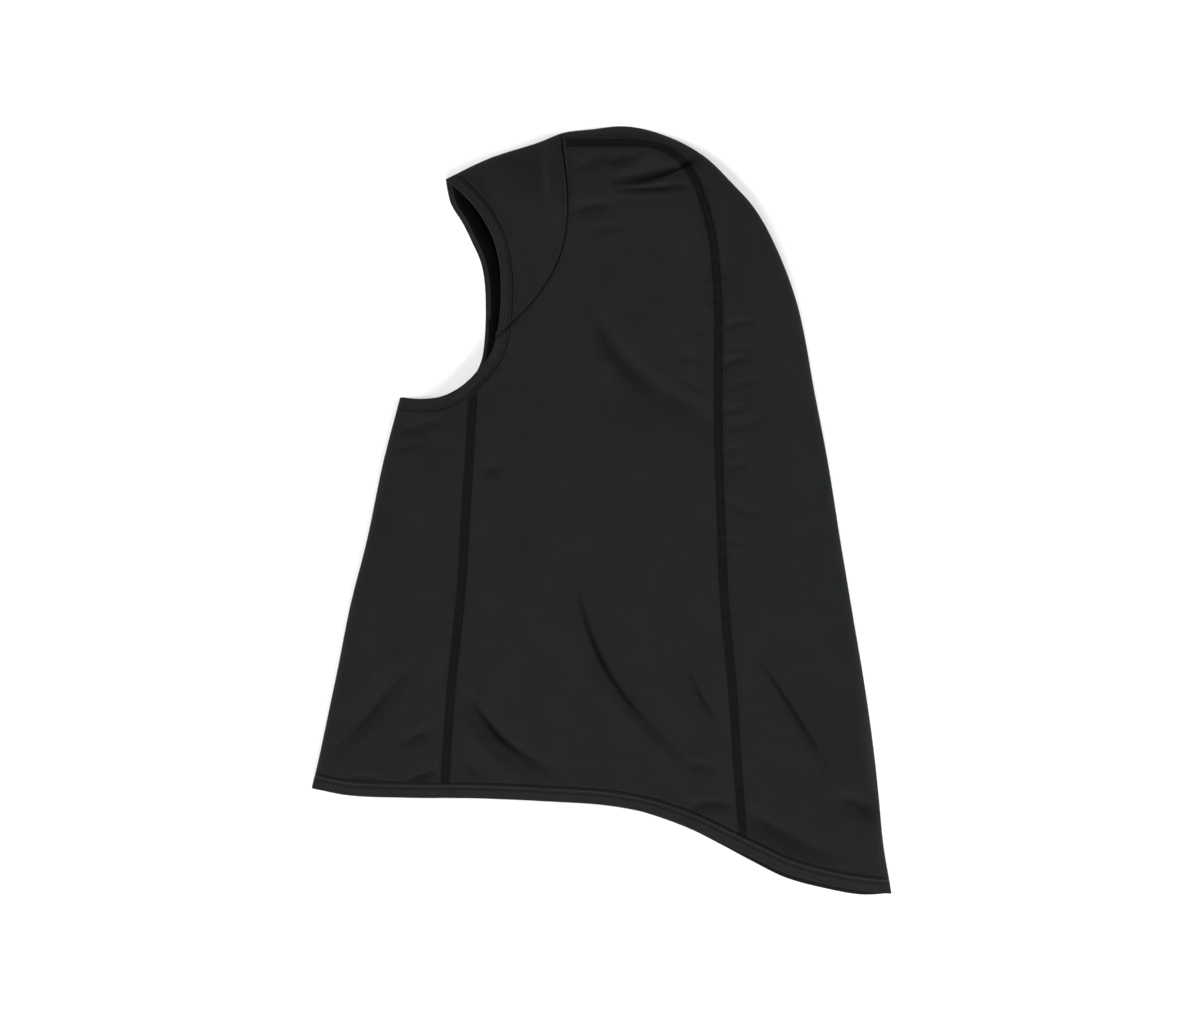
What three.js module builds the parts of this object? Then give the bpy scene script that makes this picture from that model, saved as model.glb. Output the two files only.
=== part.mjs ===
import * as THREE from "three";
import { mergeVertices } from "three/addons/utils/BufferGeometryUtils.js";

// A pull-on sports hijab in black knit, lying on its right side: a hood with a face opening and a long skirt,
// folded in two along the centre front, the crown and the centre back. X runs toward the back of the head,
// Y toward the crown and Z up from the table. All sizes are millimetres.

// the whole piece as it lies
const laidWidth = 383;
const laidLength = 508;

// cloth, hems and seams
const knitThickness = 1.0;
const hemThickness = 1.8;
const faceHemWidth = 9.6;
const bottomHemWidth = 9.9;
const seamWidth = 5.3;
const seamThickness = 1.7;
const seamRise = 0.4;
const seamEdgeRise = 0.15;
const pieceGap = 0.4;

// how the two layers lie: the folded edge stands a little off the table and the upper layer lofts over it
const foldHeight = 3.2;
const foldShoulder = 7;
const foldRoll = 6;
const underRoll = 4.5;
const crownLift = 17;
const liftReach = 48;
const mouthReach = 30;

// Outline and seam lines, hand placed: x is a share of the laid width from the front, y a share of the laid
// length from the bottom.
const crownFold = [
  { x: 0.231, y: 0.931 },
  { x: 0.306, y: 0.958 },
  { x: 0.392, y: 0.979 },
  { x: 0.435, y: 0.9915 },
  { x: 0.484, y: 0.996 },
  { x: 0.535, y: 1.0 },
  { x: 0.58, y: 0.995 },
  { x: 0.637, y: 0.979 },
  { x: 0.682, y: 0.958 },
  { x: 0.725, y: 0.926 },
  { x: 0.761, y: 0.896 },
  { x: 0.7935, y: 0.8545 },
  { x: 0.8365, y: 0.771 },
  { x: 0.869, y: 0.647 },
  { x: 0.89, y: 0.564 },
  { x: 0.912, y: 0.46 },
  { x: 0.935, y: 0.356 },
  { x: 0.9535, y: 0.273 },
  { x: 0.969, y: 0.19 },
  { x: 0.978, y: 0.127 },
  { x: 0.986, y: 0.065 },
  { x: 1.0, y: 0.003 },
];
const frontFold = [
  { x: 0.153, y: 0.648 },
  { x: 0.124, y: 0.564 },
  { x: 0.095, y: 0.46 },
  { x: 0.067, y: 0.377 },
  { x: 0.045, y: 0.2935 },
  { x: 0.0275, y: 0.231 },
  { x: 0.01, y: 0.169 },
  { x: 0.0, y: 0.14 },
];
const faceEdgeUpper = [
  { x: 0.231, y: 0.931 },
  { x: 0.267, y: 0.9065 },
  { x: 0.293, y: 0.882 },
  { x: 0.3115, y: 0.857 },
  { x: 0.323, y: 0.826 },
  { x: 0.327, y: 0.792 },
  { x: 0.3255, y: 0.758 },
  { x: 0.318, y: 0.7215 },
  { x: 0.305, y: 0.6985 },
  { x: 0.2855, y: 0.681 },
  { x: 0.261, y: 0.663 },
  { x: 0.226, y: 0.649 },
  { x: 0.188, y: 0.6455 },
  { x: 0.153, y: 0.648 },
];
const faceEdgeLower = [
  { x: 0.231, y: 0.931 },
  { x: 0.24, y: 0.9 },
  { x: 0.26, y: 0.875 },
  { x: 0.277, y: 0.849 },
  { x: 0.291, y: 0.825 },
  { x: 0.2986, y: 0.795 },
  { x: 0.2986, y: 0.725 },
  { x: 0.291, y: 0.692 },
  { x: 0.273, y: 0.669 },
  { x: 0.243, y: 0.653 },
  { x: 0.2, y: 0.6455 },
  { x: 0.153, y: 0.648 },
];
const hemEdgeUpper = [
  { x: 0.0, y: 0.14 },
  { x: 0.064, y: 0.131 },
  { x: 0.1635, y: 0.128 },
  { x: 0.291, y: 0.127 },
  { x: 0.411, y: 0.123 },
  { x: 0.508, y: 0.118 },
  { x: 0.58, y: 0.108 },
  { x: 0.654, y: 0.089 },
  { x: 0.709, y: 0.069 },
  { x: 0.761, y: 0.05 },
  { x: 0.818, y: 0.03 },
  { x: 0.893, y: 0.0145 },
  { x: 0.95, y: 0.007 },
  { x: 1.0, y: 0.003 },
];
const hemEdgeLower = [
  { x: 0.0, y: 0.14 },
  { x: 0.064, y: 0.133 },
  { x: 0.1635, y: 0.13 },
  { x: 0.411, y: 0.125 },
  { x: 0.508, y: 0.12 },
  { x: 0.58, y: 0.1065 },
  { x: 0.654, y: 0.086 },
  { x: 0.709, y: 0.065 },
  { x: 0.761, y: 0.044 },
  { x: 0.818, y: 0.023 },
  { x: 0.893, y: 0.008 },
  { x: 0.95, y: 0.001 },
  { x: 1.0, y: 0.003 },
];
const foreheadSeamLine = [
  { x: 0.4345, y: 1.01 },
  { x: 0.433, y: 0.98 },
  { x: 0.438, y: 0.945 },
  { x: 0.4415, y: 0.917 },
  { x: 0.4415, y: 0.884 },
  { x: 0.437, y: 0.851 },
  { x: 0.42, y: 0.814 },
  { x: 0.388, y: 0.776 },
  { x: 0.36, y: 0.753 },
  { x: 0.322, y: 0.727 },
];
const backSeamLine = [
  { x: 0.41, y: 0.976 },
  { x: 0.445, y: 0.9765 },
  { x: 0.49, y: 0.976 },
  { x: 0.54, y: 0.976 },
  { x: 0.5835, y: 0.974 },
  { x: 0.618, y: 0.965 },
  { x: 0.642, y: 0.95 },
  { x: 0.66, y: 0.929 },
  { x: 0.6755, y: 0.898 },
  { x: 0.6885, y: 0.861 },
  { x: 0.6955, y: 0.82 },
  { x: 0.7, y: 0.76 },
  { x: 0.7005, y: 0.605 },
  { x: 0.704, y: 0.514 },
  { x: 0.711, y: 0.384 },
  { x: 0.725, y: 0.269 },
  { x: 0.733, y: 0.177 },
  { x: 0.74, y: 0.108 },
  { x: 0.748, y: 0.03 },
];
const frontSeamLine = [
  { x: 0.2805, y: 0.69 },
  { x: 0.279, y: 0.65 },
  { x: 0.276, y: 0.61 },
  { x: 0.271, y: 0.543 },
  { x: 0.2655, y: 0.48 },
  { x: 0.261, y: 0.415 },
  { x: 0.254, y: 0.357 },
  { x: 0.2465, y: 0.306 },
  { x: 0.24, y: 0.251 },
  { x: 0.235, y: 0.1965 },
  { x: 0.228, y: 0.11 },
];

// Loft of the upper layer above the table, a share of the crown's lift at each share of the length.
const loftByLength = [
  { y: 0.0, lift: 0.5 },
  { y: 0.15, lift: 0.54 },
  { y: 0.45, lift: 0.63 },
  { y: 0.65, lift: 0.68 },
  { y: 0.8, lift: 0.86 },
  { y: 0.92, lift: 1.0 },
  { y: 1.0, lift: 1.0 },
];
const mouthSag = 0.3;

// Creases, valleys and ridges of the upper layer: a straight run between two places, pushed sideways at its
// middle by bow (a share of its own length, to the left of its direction), as wide as a share of the laid width,
// and rising (or sinking) by a share of the crown's lift.
const folds = [
  { x0: 0.51, y0: 0.928, x1: 0.632, y1: 0.951, bow: -0.08, width: 0.0115, rise: -0.19 },
  { x0: 0.505, y0: 0.915, x1: 0.625, y1: 0.93, bow: -0.04, width: 0.012, rise: 0.11 },
  { x0: 0.52, y0: 0.905, x1: 0.63, y1: 0.907, bow: -0.02, width: 0.011, rise: -0.08 },
  { x0: 0.455, y0: 0.944, x1: 0.54, y1: 0.965, bow: 0.03, width: 0.0105, rise: -0.09 },
  { x0: 0.5, y0: 0.937, x1: 0.57, y1: 0.962, bow: 0.0, width: 0.009, rise: -0.08 },
  { x0: 0.44, y0: 0.88, x1: 0.52, y1: 0.897, bow: 0.03, width: 0.012, rise: -0.09 },
  { x0: 0.645, y0: 0.94, x1: 0.672, y1: 0.969, bow: 0.0, width: 0.013, rise: -0.1 },
  { x0: 0.7, y0: 0.915, x1: 0.731, y1: 0.79, bow: 0.05, width: 0.02, rise: -0.13 },
  { x0: 0.73, y0: 0.875, x1: 0.765, y1: 0.76, bow: 0.05, width: 0.02, rise: 0.07 },
  { x0: 0.47, y0: 0.775, x1: 0.705, y1: 0.606, bow: -0.16, width: 0.045, rise: -0.13 },
  { x0: 0.52, y0: 0.83, x1: 0.7, y1: 0.69, bow: -0.12, width: 0.05, rise: 0.07 },
  { x0: 0.455, y0: 0.47, x1: 0.7, y1: 0.178, bow: -0.17, width: 0.026, rise: -0.11 },
  { x0: 0.5, y0: 0.47, x1: 0.71, y1: 0.235, bow: -0.15, width: 0.03, rise: 0.09 },
  { x0: 0.268, y0: 0.262, x1: 0.425, y1: 0.162, bow: -0.12, width: 0.017, rise: -0.1 },
  { x0: 0.255, y0: 0.24, x1: 0.32, y1: 0.19, bow: -0.1, width: 0.015, rise: 0.08 },
  { x0: 0.43, y0: 0.3, x1: 0.485, y1: 0.19, bow: -0.05, width: 0.015, rise: -0.05 },
  { x0: 0.19, y0: 0.312, x1: 0.02, y1: 0.182, bow: -0.04, width: 0.015, rise: -0.09 },
  { x0: 0.17, y0: 0.33, x1: 0.03, y1: 0.225, bow: -0.04, width: 0.018, rise: 0.06 },
  { x0: 0.225, y0: 0.226, x1: 0.15, y1: 0.193, bow: 0.0, width: 0.013, rise: -0.06 },
  { x0: 0.225, y0: 0.166, x1: 0.155, y1: 0.152, bow: 0.0, width: 0.012, rise: -0.05 },
  { x0: 0.225, y0: 0.617, x1: 0.14, y1: 0.604, bow: 0.03, width: 0.012, rise: -0.06 },
  { x0: 0.755, y0: 0.322, x1: 0.893, y1: 0.17, bow: 0.04, width: 0.02, rise: -0.1 },
  { x0: 0.89, y0: 0.13, x1: 0.98, y1: 0.102, bow: 0.0, width: 0.02, rise: -0.12 },
  { x0: 0.87, y0: 0.155, x1: 0.965, y1: 0.14, bow: 0.0, width: 0.022, rise: 0.06 },
  { x0: 0.64, y0: 0.12, x1: 0.725, y1: 0.116, bow: 0.02, width: 0.011, rise: -0.12 },
  { x0: 0.745, y0: 0.118, x1: 0.88, y1: 0.05, bow: -0.05, width: 0.014, rise: -0.12 },
  { x0: 0.77, y0: 0.125, x1: 0.86, y1: 0.087, bow: -0.03, width: 0.016, rise: 0.07 },
  { x0: 0.65, y0: 0.275, x1: 0.7, y1: 0.2, bow: 0.05, width: 0.013, rise: -0.06 },
  { x0: 0.413, y0: 0.975, x1: 0.418, y1: 0.88, bow: 0.0, width: 0.012, rise: 0.06 },
];
// small gathers where the crown panel is eased into the seam behind the ear
const gatherTop = { x: 0.714, y: 0.74 };
const gatherBottom = { x: 0.721, y: 0.5 };
const gatherCount = 8;
const gatherLength = 0.05;
const gatherWidth = 0.009;
const gatherRise = -0.05;

// How finely the pieces are faceted.
const lineSteps = 160;
const lineOverrun = 16;
const slopeStep = 0.5;
const halvings = 50;
const foldStep = 0.4;
const foldGrowth = 1.65;
const sideRows = 46;
const sideColumns = 18;
const sideUnderPoints = 124;
const backRows = 31;
const backAcross = 12;
const backUnder = 7;
const chinRows = 14;
const chinAcross = 10;
const chinUnder = 11;
const browRows = 7;
const browAcross = 16;
const browUnder = 13;
const backSeamSteps = 46;
const frontSeamSteps = 20;
const browBandSteps = 16;
const faceHemSteps = 42;
const faceHemUnder = 36;
const bottomHemSteps = 50;
const bottomHemUnder = 40;
const crownFineness = 1.5;
const crownOfSide = [0.66, 0.84];
const crownOfBack = [0.25, 0.45];
const mouthFineness = 0.9;
const crownTurn = 0.25;
const tipSetback = 4;

const knitColour = 0x262828;
const hemColour = 0x242626;
const seamColour = 0x1b1d1d;

function placed(share) {
  return new THREE.Vector2((share.x - 0.5) * laidWidth, (share.y - 0.5) * laidLength);
}

// A drawn line in plan: a smooth curve through its places, with the length run up to each of its points.
function measured(points) {
  const runs = [0];
  for (let k = 1; k < points.length; k += 1) {
    runs.push(runs[k - 1] + points[k].distanceTo(points[k - 1]));
  }
  return { points, runs, length: runs[runs.length - 1] };
}

function drawn(table) {
  const places = table.map(placed).map((p) => new THREE.Vector3(p.x, p.y, 0));
  const curve = new THREE.CatmullRomCurve3(places, false, "centripetal");
  return measured(curve.getSpacedPoints(lineSteps).map((p) => new THREE.Vector2(p.x, p.y)));
}

// The point at a share of a line's length.
function along(line, share) {
  const run = THREE.MathUtils.clamp(share, 0, 1) * line.length;
  let k = 1;
  while (k < line.runs.length - 1 && line.runs[k] < run) k += 1;
  const span = line.runs[k] - line.runs[k - 1] || 1;
  return line.points[k - 1].clone().lerp(line.points[k], (run - line.runs[k - 1]) / span);
}

// The line moved sideways to its left, its two ends drawn on so that it crosses its neighbours.
function beside(line, distance) {
  const count = line.points.length - 1;
  const moved = line.points.map((p, k) => {
    const ahead = line.points[Math.min(k + 1, count)];
    const behind = line.points[Math.max(k - 1, 0)];
    const way = ahead.clone().sub(behind).normalize();
    return p.clone().add(new THREE.Vector2(-way.y, way.x).multiplyScalar(distance));
  });
  const lead = moved[0].clone().sub(moved[2]).setLength(lineOverrun).add(moved[0]);
  const tail = moved[count].clone().sub(moved[count - 2]).setLength(lineOverrun).add(moved[count]);
  return measured([lead, ...moved, tail]);
}

// Where two lines cross, as a share of each.
function crossing(one, two) {
  for (let i = 1; i < one.points.length; i += 1) {
    const a = one.points[i - 1];
    const ab = one.points[i].clone().sub(a);
    for (let j = 1; j < two.points.length; j += 1) {
      const c = two.points[j - 1];
      const cd = two.points[j].clone().sub(c);
      const turn = ab.cross(cd);
      const ac = c.clone().sub(a);
      const s = ac.cross(cd) / turn;
      const t = ac.cross(ab) / turn;
      if (turn !== 0 && s >= 0 && s <= 1 && t >= 0 && t <= 1) {
        return {
          one: (one.runs[i - 1] + s * ab.length()) / one.length,
          two: (two.runs[j - 1] + t * cd.length()) / two.length,
        };
      }
    }
  }
  throw new Error("two lines that should cross do not");
}

// The part of a line between two shares of it, run either way.
function part(line, from, to) {
  const inside = line.points.filter((_, k) => {
    const share = line.runs[k] / line.length;
    return share > Math.min(from, to) && share < Math.max(from, to);
  });
  if (from > to) inside.reverse();
  return measured([along(line, from), ...inside, along(line, to)]);
}

// The part of a line between the two lines that cross it.
function trimmed(line, first, last) {
  return part(line, crossing(line, first).one, crossing(line, last).one);
}

function joined(...lines) {
  return measured(lines.flatMap((line, k) => line.points.slice(k === 0 ? 0 : 1)));
}

// The line with its ends drawn over to two given points, the change dying away along it.
function snapped(line, start, end) {
  const toStart = start.clone().sub(line.points[0]);
  const toEnd = end.clone().sub(line.points[line.points.length - 1]);
  return measured(
    line.points.map((p, k) => {
      const share = line.runs[k] / line.length;
      return p
        .clone()
        .addScaledVector(toStart, (1 - share) ** 3)
        .addScaledVector(toEnd, share ** 3);
    }),
  );
}

// The point of a rising or falling line at a height y.
function atHeight(line, y) {
  const rising = line.points[line.points.length - 1].y > line.points[0].y;
  for (let k = 1; k < line.points.length; k += 1) {
    const a = line.points[k - 1];
    const b = line.points[k];
    if (rising ? b.y >= y : b.y <= y) return a.clone().lerp(b, b.y === a.y ? 0 : (y - a.y) / (b.y - a.y));
  }
  return line.points[line.points.length - 1].clone();
}

function distanceTo(line, p) {
  let least = Infinity;
  for (let k = 1; k < line.points.length; k += 1) {
    const a = line.points[k - 1];
    const ab = line.points[k].clone().sub(a);
    const t = THREE.MathUtils.clamp(p.clone().sub(a).dot(ab) / ab.lengthSq(), 0, 1);
    least = Math.min(least, a.clone().addScaledVector(ab, t).distanceTo(p));
  }
  return least;
}

// A value read off a table against y, eased between its rows.
function eased(table, y) {
  let k = 1;
  while (k < table.length - 1 && table[k].y < y) k += 1;
  const share = THREE.MathUtils.smoothstep(y, table[k - 1].y, table[k].y);
  return THREE.MathUtils.lerp(table[k - 1].lift, table[k].lift, share);
}

// Shares of a width that start with a fine step at the folded edge and grow to an even one.
function spread(count, width) {
  const stepsUpTo = (most) =>
    Array.from({ length: count }, (_, k) => Math.min(foldStep * foldGrowth ** k, most));
  const total = (most) => stepsUpTo(most).reduce((sum, step) => sum + step, 0);
  let low = 0;
  let high = width;
  for (let turn = 0; turn < halvings; turn += 1) {
    const middle = (low + high) / 2;
    if (total(middle) < width) low = middle;
    else high = middle;
  }
  const shares = [0];
  for (const step of stepsUpTo(high)) shares.push(shares[shares.length - 1] + step);
  return shares.map((run) => run / shares[count]);
}

// The same, fine at both ends.
function spreadBoth(count, width) {
  const half = spread(count / 2, width / 2).map((share) => share / 2);
  return [...half, ...half.slice(0, -1).reverse().map((share) => 1 - share)];
}

// plan lines
const crown = drawn(crownFold);
const front = drawn(frontFold);
const mouthUpper = drawn(faceEdgeUpper);
const mouthLower = drawn(faceEdgeLower);
const hemUpper = drawn(hemEdgeUpper);
const hemLower = drawn(hemEdgeLower);
const browSeam = drawn(foreheadSeamLine);
const backSeam = drawn(backSeamLine);
const chestSeam = drawn(frontSeamLine);

// Height of the outer face of the upper layer over a place in plan.
function loft(p) {
  let lift = eased(loftByLength, p.y / laidLength + 0.5);
  lift *= 1 - mouthSag * Math.exp(-((distanceTo(mouthUpper, p) / mouthReach) ** 2));
  for (const fold of [...folds, ...gathers()]) {
    const start = placed({ x: fold.x0, y: fold.y0 });
    const run = placed({ x: fold.x1, y: fold.y1 }).sub(start);
    const length = run.length();
    const from = p.clone().sub(start);
    const share = from.dot(run) / (length * length);
    if (share <= 0 || share >= 1) continue;
    const window = Math.sin(Math.PI * share);
    const across = run.cross(from) / length - fold.bow * length * window;
    lift += fold.rise * Math.sqrt(window) * Math.exp(-((across / (fold.width * laidWidth)) ** 2));
  }
  return lift * crownLift;
}

function gathers() {
  return Array.from({ length: gatherCount }, (_, k) => {
    const share = k / (gatherCount - 1);
    const x = THREE.MathUtils.lerp(gatherTop.x, gatherBottom.x, share);
    const y = THREE.MathUtils.lerp(gatherTop.y, gatherBottom.y, share);
    return { x0: x, y0: y, x1: x + gatherLength, y1: y, bow: 0, width: gatherWidth, rise: gatherRise };
  });
}

// The rounding of a folded edge: a quarter of an ellipse that is level once it has gone its full width in.
function rolled(share) {
  const left = 1 - Math.min(share, 1);
  return Math.sqrt(1 - left * left);
}

function inFromFold(p) {
  return Math.min(distanceTo(crown, p), distanceTo(front, p));
}

// Height of the outer face at a place in plan, on the upper layer or the one under it.
function height(p, upper) {
  const inFrom = inFromFold(p);
  if (!upper) return foldHeight * (1 - rolled(inFrom / underRoll));
  const shoulder = (foldShoulder - foldHeight) * rolled(inFrom / foldRoll);
  const reach = 1 - Math.min(inFrom / liftReach, 1);
  return foldHeight + shoulder + (loft(p) - foldShoulder) * (1 - reach * reach);
}

// The outer face at a place in plan, with the way it faces where that can be read from the heights around it:
// everywhere but on the rounding of the folded edges.
function face(p, upper) {
  const place = new THREE.Vector3(p.x, p.y, height(p, upper));
  if (inFromFold(p) < (upper ? foldRoll : underRoll)) return { place, out: null };
  if (!upper) return { place, out: new THREE.Vector3(0, 0, -1) };
  const rise = (x, y) => height(new THREE.Vector2(p.x + x, p.y + y), upper) - place.z;
  const out = new THREE.Vector3(-rise(slopeStep, 0), -rise(0, slopeStep), slopeStep).normalize();
  return { place, out };
}

// A patch between four plan lines: two long sides run the same way, two short ones join them.
function patched(first, last, start, end) {
  const corners = [first(0), last(0), first(1), last(1)];
  return (s, q) =>
    first(s)
      .multiplyScalar(1 - q)
      .addScaledVector(last(s), q)
      .addScaledVector(start(q), 1 - s)
      .addScaledVector(end(q), s)
      .addScaledVector(corners[0], -(1 - s) * (1 - q))
      .addScaledVector(corners[1], -(1 - s) * q)
      .addScaledVector(corners[2], -s * (1 - q))
      .addScaledVector(corners[3], -s * q);
}

function run(line) {
  return (share) => along(line, share);
}

function evenShares(count) {
  return Array.from({ length: count + 1 }, (_, k) => k / count);
}

// Shares from 0 to 1, closer together where the weight is larger.
function weightedShares(count, weight) {
  const fine = evenShares(40 * count);
  const sums = [0];
  for (let k = 1; k < fine.length; k += 1) sums.push(sums[k - 1] + weight((fine[k] + fine[k - 1]) / 2));
  return evenShares(count).map((share) => {
    const wanted = share * sums[sums.length - 1];
    let k = 1;
    while (k < sums.length - 1 && sums[k] < wanted) k += 1;
    return fine[k - 1] + ((wanted - sums[k - 1]) / (sums[k] - sums[k - 1])) * (fine[k] - fine[k - 1]);
  });
}

// The lines of a turned hem on one layer: its free edge, its inner edge and the line that the cloth beyond
// keeps to, each run from the first folded edge to the last one.
function hemLines(edge, width, firstFold, lastFold, above) {
  const cut = (distance) => {
    const line = beside(edge, distance);
    const first = crossing(line, firstFold);
    const last = crossing(line, lastFold);
    return { line: part(line, first.one, last.one), first: first.two, last: last.two };
  };
  const inner = cut(width);
  const clear = cut(width + pieceGap);
  if (above) {
    const over = (line, like) => snapped(line, like.points[0], like.points[like.points.length - 1]);
    inner.line = over(inner.line, above.inner.line);
    clear.line = over(clear.line, above.clear.line);
  }
  return { edge, inner, clear };
}

const faceU = hemLines(mouthUpper, faceHemWidth, crown, front);
const faceL = hemLines(mouthLower, faceHemWidth, crown, front, faceU);
const hemU = hemLines(hemUpper, bottomHemWidth, front, crown);
const hemL = hemLines(hemLower, bottomHemWidth, front, crown, hemU);

const seamHalf = seamWidth / 2;
const seamClear = seamHalf + pieceGap;
const browLeft = beside(browSeam, -seamClear);
const browRight = beside(browSeam, seamClear);
const backInside = beside(backSeam, -seamClear);
const backOutside = beside(backSeam, seamClear);
const chestLeft = beside(chestSeam, -seamClear);
const chestRight = beside(chestSeam, seamClear);

// The closed solid that stands on a grid of outer face points: its outer side may be raised a little, its inner
// side lies the cloth's thickness further in, and a ring closes on itself along its rows.
function shell(grid, { thickness, rises = null, ring = false, upward = 1 }) {
  const rows = grid.length;
  const columns = grid[0].length;
  const next = (i) => (ring ? (i + 1) % rows : Math.min(i + 1, rows - 1));
  const last = (i) => (ring ? (i + rows - 1) % rows : Math.max(i - 1, 0));
  const square = (i, j) => {
    const lengthways = grid[next(i)][j].place.clone().sub(grid[last(i)][j].place);
    const across = grid[i][Math.min(j + 1, columns - 1)].place.clone().sub(grid[i][Math.max(j - 1, 0)].place);
    return lengthways.cross(across).normalize();
  };
  const flip = square(Math.floor(rows / 4), 0).z * upward < 0;
  const outer = [];
  const inner = [];
  for (let i = 0; i < rows; i += 1) {
    for (let j = 0; j < columns; j += 1) {
      const { place, out } = grid[i][j];
      const facing = out ?? square(i, j).multiplyScalar(flip ? -1 : 1);
      const rise = rises ? rises[j] * Math.max(facing.z, 0) : 0;
      outer.push(place.clone().addScaledVector(facing, rise));
      inner.push(place.clone().addScaledVector(facing, -thickness));
    }
  }
  const index = [];
  const quad = (a, b, c, d) => index.push(...(flip ? [a, c, b, a, d, c] : [a, b, c, a, c, d]));
  const under = rows * columns;
  const at = (i, j) => i * columns + j;
  for (let i = 0; i < (ring ? rows : rows - 1); i += 1) {
    for (let j = 0; j < columns - 1; j += 1) {
      const [a, b, c, d] = [at(i, j), at(next(i), j), at(next(i), j + 1), at(i, j + 1)];
      quad(a, b, c, d);
      quad(a + under, d + under, c + under, b + under);
    }
    const [a, b] = [at(i, 0), at(next(i), 0)];
    const [c, d] = [at(i, columns - 1), at(next(i), columns - 1)];
    quad(b, a, a + under, b + under);
    quad(c, d, d + under, c + under);
  }
  if (!ring) {
    for (let j = 0; j < columns - 1; j += 1) {
      quad(at(0, j), at(0, j + 1), at(0, j + 1) + under, at(0, j) + under);
      quad(at(rows - 1, j + 1), at(rows - 1, j), at(rows - 1, j) + under, at(rows - 1, j + 1) + under);
    }
  }
  const geometry = new THREE.BufferGeometry();
  const places = [...outer, ...inner].flatMap((p) => [p.x, p.y, Math.max(p.z, 0)]);
  geometry.setAttribute("position", new THREE.Float32BufferAttribute(places, 3));
  geometry.setIndex(index);
  geometry.computeVertexNormals();
  return geometry;
}

// A panel folded round an edge: from its seam on the upper layer over the fold to its seam underneath.
function foldedPanel(fold, upper, lower, shares, across, under) {
  const above = patched(run(upper.seam), run(fold), run(upper.start), run(upper.end));
  const below = patched(run(lower.seam), run(fold), run(lower.start), run(lower.end));
  const grid = shares.map((s) => {
    const wide = above(s, 0).distanceTo(above(s, 1));
    const over = spread(across, wide).map((share) => face(above(s, 1 - share), true));
    const beneath = spread(under, wide).map((share) => face(below(s, 1 - share), false));
    return [...over.reverse(), ...beneath.slice(1)];
  });
  return shell(grid, { thickness: knitThickness });
}

function browSides(face_) {
  const tip = crossing(face_.clear.line, browLeft);
  const onFace = tip.one - tipSetback / face_.clear.line.length;
  const onSeam = tip.two - tipSetback / browLeft.length;
  return {
    seam: measured([along(face_.clear.line, onFace), along(browLeft, onSeam)]),
    start: part(face_.clear.line, onFace, 0),
    end: part(browLeft, onSeam, crossing(browLeft, crown).one),
  };
}

function chinSides(face_, hem) {
  return {
    seam: trimmed(chestLeft, face_.clear.line, hem.clear.line),
    start: part(face_.clear.line, crossing(face_.clear.line, chestLeft).one, 1),
    end: part(hem.clear.line, crossing(hem.clear.line, chestLeft).one, 0),
  };
}

function backSides(hem) {
  return {
    seam: trimmed(backOutside, browRight, hem.clear.line),
    start: trimmed(browRight, backOutside, crown),
    end: part(hem.clear.line, crossing(hem.clear.line, backOutside).one, 1),
  };
}

// The edges of a side panel on one layer: up the front seam, round the face hem and over the forehead seam,
// then along the back seam over the crown and down, then back along the bottom hem.
function sideEdges(face_, hem) {
  return {
    up: trimmed(chestRight, hem.clear.line, face_.clear.line),
    round: trimmed(face_.clear.line, chestRight, browRight),
    over: trimmed(browRight, face_.clear.line, backInside),
    down: trimmed(backInside, browRight, hem.clear.line),
    bottom: trimmed(hem.clear.line, chestRight, backInside),
  };
}

// The upper side panel: rows run across from the front edges to the back seam, the top row along that seam.
function sideGrid(edges) {
  const left = joined(edges.up, edges.round, edges.over);
  const turn = (crownTurn * laidWidth) / edges.down.length;
  const right = part(edges.down, 1, turn);
  const heights = (line) => [line.points[0].y, line.points[line.points.length - 1].y];
  const climb = (line) => (share) => atHeight(line, THREE.MathUtils.lerp(...heights(line), share));
  const [low, high] = heights(left);
  const kinks = [edges.up, edges.round].map((line) => (heights(line)[1] - low) / (high - low));
  const fineness = (share) =>
    1 +
    crownFineness * THREE.MathUtils.smoothstep(share, ...crownOfSide) +
    (share > kinks[0] && share < kinks[1] ? mouthFineness : 0);
  const shares = weightedShares(sideRows, fineness);
  for (const kink of kinks) {
    const away = shares.map((share) => Math.abs(share - kink));
    shares[away.indexOf(Math.min(...away))] = kink;
  }
  const sheet = patched(run(edges.bottom), run(part(edges.down, 0, turn)), climb(left), climb(right));
  return shares.map((t) => evenShares(sideColumns).map((q) => face(sheet(q, t), true)));
}

// The side panel underneath lies flat on the table, so it is its outline raised by the cloth's thickness.
function flatSide(edges) {
  const round = joined(edges.up, edges.round, edges.over, edges.down, part(edges.bottom, 1, 0));
  const corners = [edges.up, edges.round, edges.over, edges.down];
  const marks = evenShares(sideUnderPoints).slice(0, -1);
  let reached = 0;
  for (const line of corners) {
    reached += line.length;
    const away = marks.map((share) => Math.abs(share - reached / round.length));
    marks[away.indexOf(Math.min(...away))] = reached / round.length;
  }
  const outline = new THREE.Shape(marks.map((share) => along(round, share)));
  const sheet = new THREE.ExtrudeGeometry(outline, { depth: knitThickness, bevelEnabled: false });
  sheet.deleteAttribute("uv");
  sheet.deleteAttribute("normal");
  const joinedUp = mergeVertices(sheet);
  joinedUp.computeVertexNormals();
  return joinedUp;
}

// A seam band: a straight run of the covered join between two lines that cut its ends.
function bandGrid(line, first, last, shares, upper) {
  const edges = [-seamHalf, seamHalf].map((distance) => beside(line, distance));
  const [left, right] = edges.map((edge) => trimmed(edge, first, last));
  const ends = [first, last].map((cut) => trimmed(cut, edges[0], edges[1]));
  const band = patched(run(left), run(right), run(ends[0]), run(ends[1]));
  return shares.map((s) => evenShares(upper ? 2 : 1).map((q) => face(band(s, q), upper)));
}

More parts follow.
